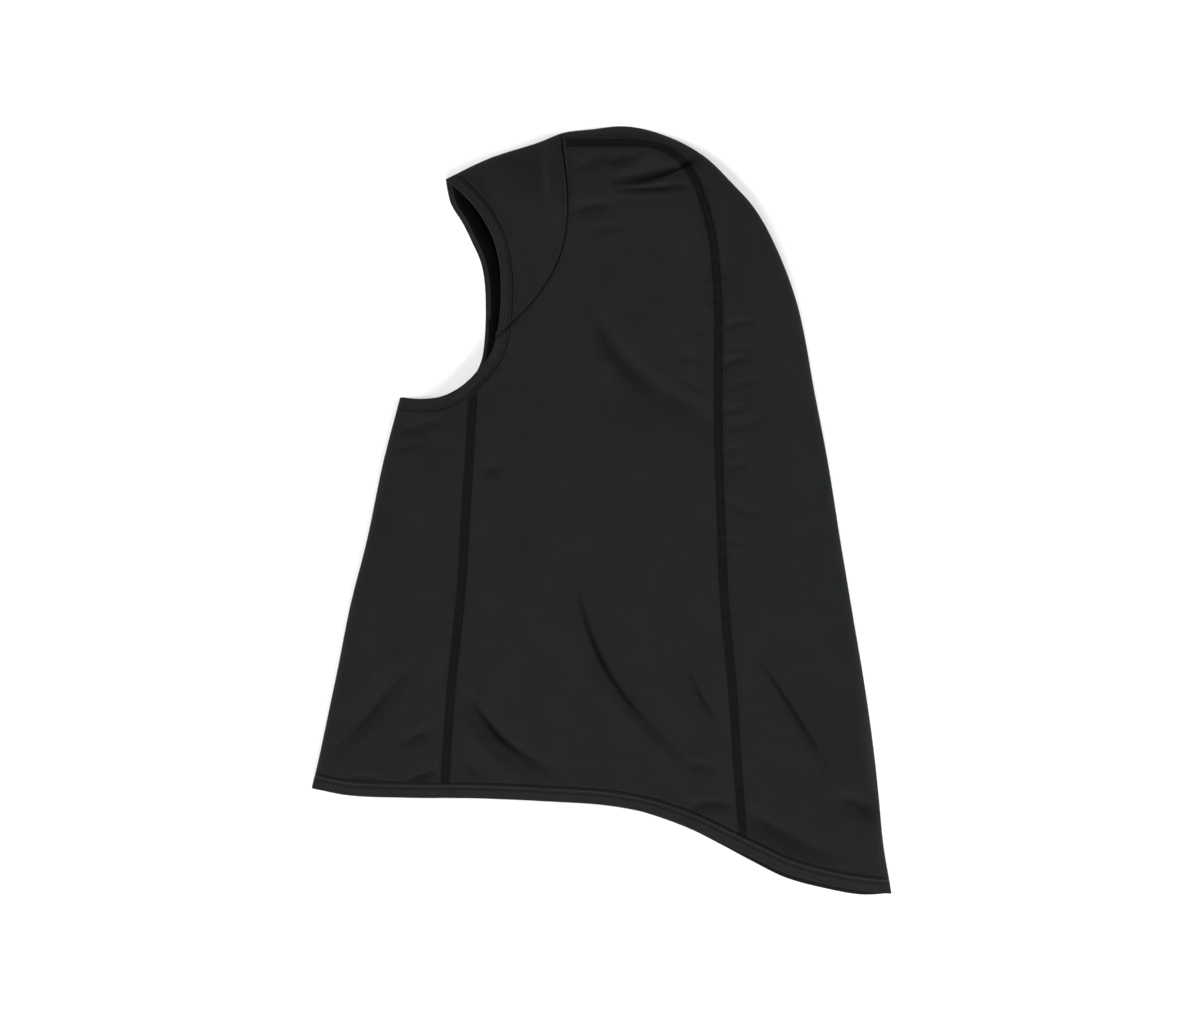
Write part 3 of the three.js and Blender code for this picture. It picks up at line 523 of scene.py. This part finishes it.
def cloth_piece(name, outer, inner, ring=False, rounded=False):
    """A closed piece of cloth from two grids of points, its outer and its inner face. They are joined along
    their edges, and closed across the ends unless the piece is a ring. A rounded piece shares its first
    column. The inner face takes the second material, a darker copy of the knit that paints the shade inside
    the hood, but for a strip along a rounded edge. The map runs in metres along and across the cloth."""
    rows, columns = outer.shape[:2]
    back = inner[:, ::-1][:, :columns - 1] if rounded else inner[:, ::-1]
    loop = np.concatenate([outer, back], axis=1)
    loop[..., 2] = np.maximum(loop[..., 2], 0)
    around = loop.shape[1]
    i = np.arange(rows if ring else rows - 1)[:, None]
    j = np.arange(around)[None, :]
    after, beyond = (i + 1) % rows, (j + 1) % around
    quads = [i * around + j, after * around + j, after * around + beyond, i * around + beyond]
    quads = np.stack(quads, axis=-1).reshape(-1, 4)
    if not ring:
        k = np.arange(columns - 1)
        first_end = np.stack([k, k + 1, 2 * columns - 2 - k, 2 * columns - 1 - k], axis=-1)
        quads = np.vstack([quads, first_end, first_end[:, ::-1] + (rows - 1) * around])
    points = loop.reshape(-1, 3)
    a, b, c, d = (points[quads[:, corner]] for corner in range(4))
    if ((a * np.cross(b, c)).sum() + (a * np.cross(c, d)).sum()) < 0:
        quads = quads[:, ::-1]
    across = np.cumsum(np.linalg.norm(np.diff(outer, axis=1), axis=-1), axis=1)
    across = np.concatenate([np.zeros((rows, 1)), across], axis=1)
    u = np.concatenate([across, across[:, ::-1][:, :around - columns]], axis=1)
    v = run_of(outer[:, columns // 2])[:, None] * np.ones(around)
    piece = linked(name, points, quads, u, v)
    # the inner faces take the painted shade, but for a strip along a rounded edge, which keeps the outer
    # colour
    painted_shade_faces = np.zeros((rows, around), dtype=int)
    painted_shade_faces[:, columns:] = 1
    if rounded:
        painted_shade_faces[:, columns:][np.linalg.norm(back - outer[:, :1], axis=-1) < turned_edge] = 0
    piece.data.polygons.foreach_set("material_index", painted_shade_faces.ravel()[quads].min(axis=1))
    piece.data.set_sharp_from_angle(angle=crisp_angle)
    return piece


def walled(name, outer, thickness, facing, ring=False):
    """A closed piece of cloth whose inner face lies the thickness inside its outer face."""
    return cloth_piece(name, outer, outer - thickness * facing, ring)


def hem_lines(edge, width, first_fold, last_fold, above=None):
    """The lines of a turned hem on one layer, each from the first folded edge to the last one: its inner
    edge and the line that the cloth beyond keeps to, with the shares of the folds they meet."""
    found = {}
    for name, distance in (("inner", width), ("clear", width + cloth_gap)):
        line = beside(edge, distance)
        at_first, at_last = crossing(line, first_fold), crossing(line, last_fold)
        line = part(line, at_first[0], at_last[0])
        if above:
            line = snapped(line, above[name][0], above[name][-1])
        found.update({name: line, name + "_first": at_first[1], name + "_last": at_last[1]})
    return found


face_upper = hem_lines(mouth_edge, face_hem_width, crown_fold, front_fold)
face_lower = hem_lines(far_mouth_edge, face_hem_width, crown_fold, front_fold, face_upper)
hem_upper = hem_lines(hem_edge, bottom_hem_width, front_fold, crown_fold)
hem_lower = hem_lines(far_hem_edge, bottom_hem_width, front_fold, crown_fold, hem_upper)
seam_half = seam_width / 2
seam_clear = seam_half + cloth_gap
brow_front, brow_rear = beside(brow_seam, -seam_clear), beside(brow_seam, seam_clear)
back_inside, back_outside = beside(back_seam, -seam_clear), beside(back_seam, seam_clear)
chest_front, chest_rear = beside(front_seam, -seam_clear), beside(front_seam, seam_clear)
crown_turn = 0.25 * laid_width
side_crowds = ((0.98, 0.17, 2.2), (0.001, 0.004, 4.0))


def side_grid(face, hem, rows, columns):
    """A side panel in plan: rows run across from its front edges to the back seam, and the top row along
    that seam. The rows lie closer together up at the crown, where the cloth is creased."""
    up = trimmed(chest_rear, hem["clear"], face["clear"])
    round_face = trimmed(face["clear"], chest_rear, brow_rear)
    over = trimmed(brow_rear, face["clear"], back_inside)
    down = trimmed(back_inside, brow_rear, hem["clear"])
    bottom = trimmed(hem["clear"], chest_rear, back_inside)
    left = np.vstack([up, round_face[1:], over[1:]])
    turn = crown_turn / length_of(down)
    t = crowded(rows, *side_crowds)
    for kink in (up[-1, 1], round_face[-1, 1]):
        kink = (kink - left[0, 1]) / (left[-1, 1] - left[0, 1])
        t[np.abs(t - kink).argmin()] = kink
    t, q = np.meshgrid(t, np.linspace(0, 1, columns), indexing="ij")
    edges = climbing(left), climbing(part(down, 1, turn))
    return patched(running(bottom), running(part(down, 0, turn)), *edges)(q, t)


def side_panel(name, face, hem, upper, rows, columns):
    """A side panel with its walls; the corner where two of its edges run on straight takes its neighbour's
    facing."""
    outer = raised(side_grid(face, hem, rows, columns), upper)
    facing = outward(outer)
    facing[-1, -1] = facing[-2, -2]
    facing *= np.sign(facing[rows // 2, columns // 2, 2]) * (1 if upper else -1)
    return walled(name, outer, knit_thickness, facing)


side_left = side_panel("side_panel_left_cloth", face_upper, hem_upper, True, rows=344, columns=140)


def maths(tree, operation, *values):
    """One sum in a node tree, of numbers or other nodes' outputs."""
    node = tree.nodes.new("ShaderNodeMath")
    node.operation = operation
    for slot, value in enumerate(values):
        if isinstance(value, (int, float)):
            node.inputs[slot].default_value = value
        else:
            tree.links.new(value, node.inputs[slot])
    return node.outputs[0]


full_turn = 6.2832
loop_slant = 0.55
loop_shortness = 1.3
loop_relief = 0.3
nap_relief = 1.4
# each noise: its scale, detail and roughness
knit_noises = ((1900, 4, 0.65), (46, 5, 0.6), (620, 3, 0.5))
# how far the colour lies from dark to light, and how much each part of the knit shifts it
base_tone = -0.6
patch_tone = 0.9
grain_tone = 1.3
ridge_tone = 0.15


def knit_group():
    """Brushed weft knit: rows of V-shaped loops, each wale (an upright row of loops) a rounded ridge with
    the two legs of every loop slanting down it, under a nap of fine fibres. The colour wanders between two
    near blacks with the ridges, a fine grain and broad patches."""
    group = bpy.data.node_groups.new("brushed_knit", "ShaderNodeTree")
    for way, name, kind in (
            ("INPUT", "Cloth", "Vector"), ("INPUT", "Wale pitch", "Float"), ("INPUT", "Dark", "Color"),
            ("INPUT", "Light", "Color"), ("OUTPUT", "Colour", "Color"), ("OUTPUT", "Height", "Float")):
        group.interface.new_socket(name=name, in_out=way, socket_type="NodeSocket" + kind)
    nodes, links = group.nodes, group.links
    given, result = nodes.new("NodeGroupInput"), nodes.new("NodeGroupOutput")
    parts = nodes.new("ShaderNodeSeparateXYZ")
    links.new(given.outputs["Cloth"], parts.inputs[0])
    u = maths(group, "DIVIDE", parts.outputs["X"], given.outputs["Wale pitch"])
    v = maths(group, "DIVIDE", parts.outputs["Y"], given.outputs["Wale pitch"])
    beside_wale = maths(group, "SUBTRACT", maths(group, "FRACT", u), 0.5)
    off = maths(group, "MULTIPLY", maths(group, "ABSOLUTE", beside_wale), 2.0)
    ridge = maths(group, "SUBTRACT", 1.0, maths(group, "POWER", off, 2.0))
    rows = maths(group, "MULTIPLY", v, loop_shortness)
    slant = maths(group, "MULTIPLY_ADD", off, loop_slant, rows)
    loop = maths(group, "SINE", maths(group, "MULTIPLY", slant, full_turn))
    stitch = maths(group, "MULTIPLY_ADD", loop, loop_relief, ridge)
    noises = []
    for scale, detail, roughness in knit_noises:
        noise = nodes.new("ShaderNodeTexNoise")
        noise.inputs["Scale"].default_value = scale
        noise.inputs["Detail"].default_value = detail
        noise.inputs["Roughness"].default_value = roughness
        links.new(given.outputs["Cloth"], noise.inputs["Vector"])
        noises.append(noise.outputs["Fac"])
    fibres, patches, grain = noises
    links.new(maths(group, "MULTIPLY_ADD", fibres, nap_relief, stitch), result.inputs["Height"])
    tone = maths(group, "MULTIPLY_ADD", patches, patch_tone, base_tone)
    tone = maths(group, "MULTIPLY_ADD", grain, grain_tone, tone)
    tone = maths(group, "MULTIPLY_ADD", ridge, ridge_tone, tone)
    blended = nodes.new("ShaderNodeMix")
    blended.data_type = "RGBA"
    blended.clamp_factor = True
    links.new(tone, blended.inputs[0])
    links.new(given.outputs["Dark"], blended.inputs[6])
    links.new(given.outputs["Light"], blended.inputs[7])
    links.new(blended.outputs[2], result.inputs["Colour"])
    return group


brushed_knit = knit_group()


wale_pitch = 0.0006
nap_roughness = 0.45
nap_tint = (0.8, 0.84, 0.86, 1)


def cloth_material(
        name, dark, light, pitch=wale_pitch, relief=0.0001, sheen=0.025, roughness=0.88, specular=0.07):
    """Black cloth: the knit group coloured between two tones, its relief as a bump, and a soft sheen."""
    material = bpy.data.materials.new(name)
    material.use_nodes = True
    nodes, links = material.node_tree.nodes, material.node_tree.links
    shader = nodes["Principled BSDF"]
    cloth = nodes.new("ShaderNodeUVMap")
    cloth.uv_map = "cloth"
    knit = nodes.new("ShaderNodeGroup")
    knit.node_tree = brushed_knit
    knit.inputs["Wale pitch"].default_value = pitch
    knit.inputs["Dark"].default_value = (*dark, 1)
    knit.inputs["Light"].default_value = (*light, 1)
    links.new(cloth.outputs[0], knit.inputs["Cloth"])
    links.new(knit.outputs["Colour"], shader.inputs["Base Color"])
    bump = nodes.new("ShaderNodeBump")
    bump.inputs["Strength"].default_value = 1.0
    bump.inputs["Distance"].default_value = relief
    links.new(knit.outputs["Height"], bump.inputs["Height"])
    links.new(bump.outputs["Normal"], shader.inputs["Normal"])
    shader.inputs["Roughness"].default_value = roughness
    shader.inputs["Specular IOR Level"].default_value = specular
    shader.inputs["Sheen Weight"].default_value = sheen
    shader.inputs["Sheen Roughness"].default_value = nap_roughness
    shader.inputs["Sheen Tint"].default_value = nap_tint
    return material


knit_black = cloth_material("black_knit", dark=(0.0038, 0.0046, 0.0046), light=(0.0082, 0.0091, 0.0091))
# the inner face of the cloth: a darker, duller copy of the knit, painted shade for the shadow inside the
# hood
knit_inside_painted_shade = cloth_material(
    "black_knit_painted_shade_inside", dark=(0.0006, 0.0008, 0.0008), light=(0.0022, 0.0026, 0.0026), sheen=0.0,
    roughness=1.0, specular=0.02)


def finished(piece, node, material):
    """Gives a piece its material outside and, inside, a darker, duller copy of the knit that paints the
    shade within the hood; lets it ride and takes its solid's place."""
    piece.data.materials.append(material)
    piece.data.materials.append(knit_inside_painted_shade)
    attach(piece, "root")
    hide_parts(node)


finished(side_left, "side_panel_left", knit_black)


# The right side panel: the same black knit, cut as the mirror of the left one and sewn in the same way. The
# hood lies on it, so it is pressed flat on the table.
side_right = side_panel("side_panel_right_cloth", face_lower, hem_lower, False, rows=220, columns=60)
finished(side_right, "side_panel_right", knit_black)


# The crown and back panel: one long piece of the same knit, cut from the forehead seam over the head and
# down to the hem, and folded along its middle. It is eased into the seam behind the ear.
back_crowds = ((0.1, 0.2, 1.0), (0.999, 0.003, 4.0))


def folded_panel(name, fold, upper_sides, lower_sides, rows, across, under, crowds=()):
    """A panel folded round an edge: each row runs from its seam on the upper layer over the folded edge to
    its seam underneath, and on each layer the rows are a patch between the panel's four edges."""
    above, below = (between(seam, fold, start, end) for seam, start, end in (upper_sides, lower_sides))
    s = crowded(rows, *crowds)
    wide = np.linalg.norm(above(s, np.zeros(rows)) - above(s, np.ones(rows)), axis=-1)
    over, beneath = 1 - spread(across, wide), 1 - spread(under, wide)
    top = raised(above(s[:, None] * np.ones(across + 1), over), True)
    bottom = raised(below(s[:, None] * np.ones(under + 1), beneath), False)
    outer = np.concatenate([top[:, ::-1], bottom[:, 1:]], axis=1)
    facing = outward(outer)
    facing *= np.sign(facing[rows // 2, 2, 2])
    return walled(name, outer, knit_thickness, facing)


def back_sides(hem):
    """The crown and back panel's other three edges on one layer: back seam, forehead seam and hem."""
    down = trimmed(back_outside, brow_rear, hem["clear"])
    start = trimmed(brow_rear, back_outside, crown_fold)
    return down, start, part(hem["clear"], crossing(hem["clear"], back_outside)[0], 1)


crown_back = folded_panel(
    "crown_back_panel_cloth", part(crown_fold, crossing(crown_fold, brow_rear)[0], hem_upper["clear_last"]),
    back_sides(hem_upper), back_sides(hem_lower), rows=440, across=64, under=36, crowds=back_crowds)
finished(crown_back, "crown_back_panel", knit_black)


# The forehead panel: a small piece of the same knit between the face opening and the forehead seam, folded
# over the top of the brow.
tip_setback = 0.0008


def brow_sides(face):
    """The forehead panel's other three edges on one layer: its blunt tip, the face hem and its seam."""
    on_face, on_seam = crossing(face["clear"], brow_front)
    on_face -= tip_setback / length_of(face["clear"])
    on_seam -= tip_setback / length_of(brow_front)
    tip = np.array([along(face["clear"], on_face), along(brow_front, on_seam)])
    seam = part(brow_front, on_seam, crossing(brow_front, crown_fold)[0])
    return tip, part(face["clear"], on_face, 0), seam


forehead = folded_panel(
    "forehead_panel_cloth", part(crown_fold, face_upper["clear_first"], crossing(crown_fold, brow_front)[0]),
    brow_sides(face_upper), brow_sides(face_lower), rows=90, across=90, under=50)
finished(forehead, "forehead_panel", knit_black)


# The chin and chest panel: a piece of the same knit between the two front seams, folded along the centre
# front under the face opening.
chin_crowds = ((0.998, 0.006, 4.0),)


def chin_sides(face, hem):
    """The chin panel's other three edges on one layer: front seam, face hem and bottom hem."""
    down = trimmed(chest_front, face["clear"], hem["clear"])
    start = part(face["clear"], crossing(face["clear"], chest_front)[0], 1)
    return down, start, part(hem["clear"], crossing(hem["clear"], chest_front)[0], 0)


chin = folded_panel(
    "chin_panel_cloth", part(front_fold, face_upper["clear_last"], hem_upper["clear_first"]),
    chin_sides(face_upper, hem_upper), chin_sides(face_lower, hem_lower), rows=210, across=80, under=40,
    crowds=chin_crowds)
finished(chin, "chin_panel", knit_black)


# The bottom hem: the knit turned up inside once and held by rows of stitches, a ring that goes all round
# the hem of the skirt.
hem_thickness = 0.0018
hem_tuck_depth = 0.00162
tuck = 0.0006
rim_crowd = (0.0, 0.1, 9.0)
row_crowd = (0.09, 3.0)
off_the_fold = 60


def hem_ring(name, upper, lower, edges, folded_at, steps, needle_rows, columns=28):
    """A turned hem: along the upper layer from one folded edge to the other and back along the layer
    underneath. Across, its outer and inner face round into each other at the free edge by half a circle as
    wide as the hem is thick. At the other edge a thin tuck reaches on under the cloth beyond."""
    halves = []
    width = np.linalg.norm(upper["inner"][off_the_fold] - edges[0], axis=1).min()
    across = crowded(columns, rim_crowd, *[(row / width, *row_crowd) for row, depth in needle_rows])
    for lines, edge, above in ((upper, edges[0], True), (lower, edges[1], False)):
        (first_fold, from_first), (last_fold, from_last) = folded_at
        start = part(first_fold, from_first, upper["inner_first"])
        end = part(last_fold, from_last, upper["inner_last"])
        band = between(edge, lines["inner"], start, end)
        half = spread(steps[0 if above else 1] // 2, np.array([length_of(edge) / 2]))[0] / 2
        s = np.append(half, 1 - half[-2::-1])
        s, q = np.meshgrid(s, across, indexing="ij")
        halves.append(raised(band(s, q), above))
    outer = np.concatenate([halves[0], halves[1][1:-1][::-1]])
    facing = outward(outer, ring=True)
    quarter = steps[0] // 4
    facing *= np.sign(facing[quarter, 3, 2])
    run = run_of(outer[quarter])
    radius = hem_thickness / 2
    bulge = np.sqrt(radius**2 - np.maximum(radius - run, 0)**2)[:, None]
    top, below = outer - (radius - bulge) * facing, outer - (radius + bulge) * facing
    tip = below[:, -1:] + tuck * unit(outer[:, -1:] - outer[:, -2:-1])
    top = np.concatenate([top, outer[:, -1:] - hem_tuck_depth * facing[:, -1:]], axis=1)
    return cloth_piece(name, top, np.concatenate([below, tip], axis=1), ring=True, rounded=True)


bottom_hem = hem_ring(
    "bottom_hem_cloth", hem_upper, hem_lower, (hem_edge, far_hem_edge), ((front_fold, 1), (crown_fold, 1)),
    steps=(400, 180), needle_rows=hem_rows[:1])
# the same knit, a touch lighter than the panels: painted light for the brighter look of the hems
hem_black_painted_light = cloth_material("black_hem_painted_light", dark=(0.004, 0.0048, 0.0048), light=(0.0086, 0.0095, 0.0095))
finished(bottom_hem, "bottom_hem", hem_black_painted_light)


# The face hem: the same turned hem, held by two rows of stitches, a ring that goes all round the face
# opening.
face_hem = hem_ring(
    "face_hem_cloth", face_upper, face_lower, (mouth_edge, far_mouth_edge),
    ((crown_fold, 0), (front_fold, 0)), steps=(300, 130), needle_rows=mouth_rows)
finished(face_hem, "face_hem", hem_black_painted_light)


# The needle rows of both hems: parallel rows of black polyester thread, each stitch dipping into the cloth
# at its ends, the thread darker than the knit to paint the shade in the grooves it sinks into, and on the
# bottom hem a row of cover thread between them, lighter and glossier to paint a highlight along it.
row_thread_radius = 0.00024
cover_thread_radius = 0.0002
cover_row = 0.0083
stitch_pitch = 0.0026
stitch_share = 0.8
thread_stations = np.array((0, 0.16, 0.84, 1))
thread_taper = np.array((0.4, 1, 1, 0.4))
thread_lift = 0.9
thread_sink = 0.35
thread_side = 1.5
corner_turns = np.radians((45, 135, 225, 315))


def threads(name, first, last, radius, thread):
    """One piece made of short four-sided lengths of thread between pairs of points: each is carried from its
    first point to its last through four stations, thinner and lower at the two ends."""
    axis = (last - first)[:, None, None]
    side = unit(np.cross(axis, (0, 0, 1)))
    up = np.cross(side, unit(axis))
    share = thread_stations[None, :, None, None]
    thick = radius * thread_taper[None, :, None, None]
    turn = corner_turns[None, None, :, None]
    points = first[:, None, None] + share * axis + thick * (np.cos(turn) * side + np.sin(turn) * up)
    points[..., 2] += (thick * thread_lift - radius * thread_sink)[..., 0]
    ring = np.arange(4)
    station = 4 * np.arange(3)[:, None]
    after = (ring + 1) % 4
    sides = np.stack([station + ring, station + after, station + 4 + after, station + 4 + ring], axis=-1)
    one = np.vstack([sides.reshape(-1, 4), [[3, 2, 1, 0], [12, 13, 14, 15]]])
    quads = (one[None] + 16 * np.arange(len(first))[:, None, None]).reshape(-1, 4)
    around = np.tile(ring * radius * thread_side, 4 * len(first))
    lengthways = np.tile(np.repeat(thread_stations, 4), len(first)) * stitch_pitch
    piece = linked(name, points.reshape(-1, 3), quads[:, ::-1], around, lengthways)
    piece.data.materials.append(thread)
    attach(piece, "root")
    return piece


def stitched(name, rows, radius, thread):
    """Rows of stitches along plan lines on the upper layer: one short length of thread to every pitch."""
    first, last = [], []
    for line in rows:
        count = int(length_of(line) / stitch_pitch)
        at = (np.arange(count) + 0.5) / count
        half = stitch_share / 2 / count
        first.append(raised(along(line, at - half), True))
        last.append(raised(along(line, at + half), True))
    return threads(name, np.concatenate(first), np.concatenate(last), radius, thread)


# black thread, darker than the knit: partly its own colour, partly painted shade for the grooves the needle
# rows sink in the cloth
thread_black_and_painted_shade = cloth_material(
    "black_thread_and_painted_shade", dark=(0.0012, 0.0015, 0.0015), light=(0.0045, 0.005, 0.005), pitch=0.00016,
    relief=0.00003, sheen=0.0, roughness=0.5, specular=0.06)
# a lighter, glossier copy of the thread: painted highlight along the cover row of the bottom hem
thread_painted_highlight = cloth_material(
    "cover_thread_painted_highlight", dark=(0.006, 0.007, 0.007), light=(0.026, 0.029, 0.029), pitch=0.00016,
    relief=0.00003, sheen=0.0, roughness=0.45, specular=0.22)


def rows_beside(edge, distances):
    """The plan lines of needle rows at distances from a hem's free edge, between the two folded edges."""
    folded = (front_fold, crown_fold) if edge is hem_edge else (crown_fold, front_fold)
    return [trimmed(beside(edge, distance), *folded) for distance in distances]


hem_distances, mouth_distances = ([row[0] for row in rows] for rows in (hem_rows, mouth_rows))
stitched("bottom_hem_stitches", rows_beside(hem_edge, hem_distances), row_thread_radius, thread_black_and_painted_shade)
stitched("bottom_hem_cover_stitches", rows_beside(hem_edge, [cover_row]), cover_thread_radius, thread_painted_highlight)
stitched("face_hem_stitches", rows_beside(mouth_edge, mouth_distances), row_thread_radius, thread_black_and_painted_shade)


# The four covered seams, between the side panels and the chin and back panels: the two edges of cloth lie
# side by side under a flat band of looped black thread, sewn with three needles.
band_depth = 0.0013
tuck_thickness = 0.00018
seam_columns = 15
rib_height = 0.00025
arch_base = 0.35
arch_rise = 0.65
arch_width = 0.94
groove_places = (-0.62, 0.0, 0.62)
groove_width = 0.12
groove_depth = 0.7


def seam_ribs():
    """How high the band stands across its width: a low arch with a groove, a bell, at each needle."""
    q = np.linspace(-1, 1, seam_columns)
    arch = arch_base + arch_rise * np.sqrt(1 - (arch_width * q)**2)
    grooves = sum(np.exp(-((q - place) / groove_width)**2) for place in groove_places)
    return rib_height * (arch - groove_depth * grooves)


def band_grid(line, first, last, rows, upper, from_fold=False):
    """A seam band between the two lines that cut its ends, a patch in plan raised to the cloth: its rows are
    even, or start with a fine step at a folded edge."""
    edges = [beside(line, side * seam_half) for side in (-1, 1)]
    left, right = (trimmed(edge, first, last) for edge in edges)
    ends = [trimmed(cut, *edges) for cut in (first, last)]
    s = spread(rows, np.array([length_of(left)]))[0] if from_fold else np.linspace(0, 1, rows)
    s, q = np.meshgrid(s, np.linspace(0, 1, seam_columns), indexing="ij")
    return raised(between(left, right, *ends)(s, q), upper)


def seam_band(name, outer, upper, ribs, depth=band_depth):
    """A seam band with its walls. On the upper layer its ribs stand proud of the cloth, fading round the
    folded edge. Underneath it is pressed flat on the table. Along both sides a thin tuck reaches on under
    the panels that it joins."""
    facing = outward(outer)
    middle = facing[len(outer) // 4, seam_columns // 2, 2]
    facing *= np.sign(middle) * (1 if upper else -1)
    inner = outer - depth * facing
    top = [outer + ribs[:, None] * np.maximum(facing[..., 2:], 0) * facing]
    under = [inner]
    for edge, beyond in ((0, 1), (-1, -2)):
        tip = inner[:, [edge]] + tuck * unit(outer[:, [edge]] - outer[:, [beyond]])
        wall = outer[:, [edge]] - (depth - tuck_thickness) * facing[:, [edge]]
        top.insert(0 if edge == 0 else 2, wall)
        under.insert(0 if edge == 0 else 2, tip)
    return cloth_piece(name, np.concatenate(top, axis=1), np.concatenate(under, axis=1))


seam_black = cloth_material(
    "black_seam_thread", dark=(0.0013, 0.0019, 0.002), light=(0.005, 0.006, 0.0062), pitch=0.0009,
    relief=0.00025, sheen=0.0, specular=0.04)
# each band: its seam line, the lines that cut its ends, its rows, and whether it is on the upper layer
bands = {
    "back_seam_left": (back_seam, brow_rear, hem_upper["clear"], 460, True),
    "back_seam_right": (back_seam, brow_rear, hem_lower["clear"], 300, False),
    "front_seam_left": (front_seam, face_upper["clear"], hem_upper["clear"], 260, True),
    "front_seam_right": (front_seam, face_lower["clear"], hem_lower["clear"], 200, False)}
for node, (line, first, last, rows, upper) in bands.items():
    band = seam_band(node + "_band", band_grid(line, first, last, rows, upper), upper, seam_ribs())
    finished(band, node, seam_black)


thread_radius = 0.00018
cover_thinness = 0.8
loop_pitch = 0.0034
loop_reach = 0.0016
loop_share = 0.42
look_ahead = 0.002
needle_lines = (-0.0017, 0.0, 0.0017)


def looped(line, first, last):
    """The cover thread of a seam: short lengths that cross from side to side between its needle rows, each
    leaning the other way from the last."""
    middle = trimmed(line, first, last)
    count = int(length_of(middle) / loop_pitch)
    at = (np.arange(2 * count) + 0.5) / (2 * count)
    step = loop_share / count
    lean = np.where(np.arange(2 * count) % 2 == 0, 1, -1)
    way = unit(along(middle, at + look_ahead) - along(middle, at - look_ahead))
    left = np.stack([-way[:, 1], way[:, 0]], axis=-1) * lean[:, None] * loop_reach
    return raised(along(middle, at - step) - left, True), raised(along(middle, at + step) + left, True)


for name in ("back_seam_left", "front_seam_left"):
    line, first, last, rows, upper = bands[name]
    needle_rows = [trimmed(beside(line, off), first, last) for off in needle_lines]
    stitched(name + "_stitches", needle_rows, thread_radius, thread_black_and_painted_shade)
    threads(name + "_cover_thread", *looped(line, first, last), thread_radius * cover_thinness, thread_black_and_painted_shade)


# The forehead seam: a plain seam over the brow that joins the forehead panel to the side panels and the
# crown. Only a smooth, narrow strip of the knit shows, sunk between the two panels.
brow_band_depth = 0.00155
brow_rows = 130
brow_over = band_grid(brow_seam, crown_fold, face_upper["clear"], brow_rows, True, from_fold=True)
brow_under = band_grid(brow_seam, crown_fold, face_lower["clear"], brow_rows, False, from_fold=True)
brow_band = np.concatenate([brow_over[::-1], brow_under[1:]])
brow_join = seam_band("forehead_seam_band", brow_band, True, np.zeros(seam_columns), brow_band_depth)
finished(brow_join, "forehead_seam", knit_black)
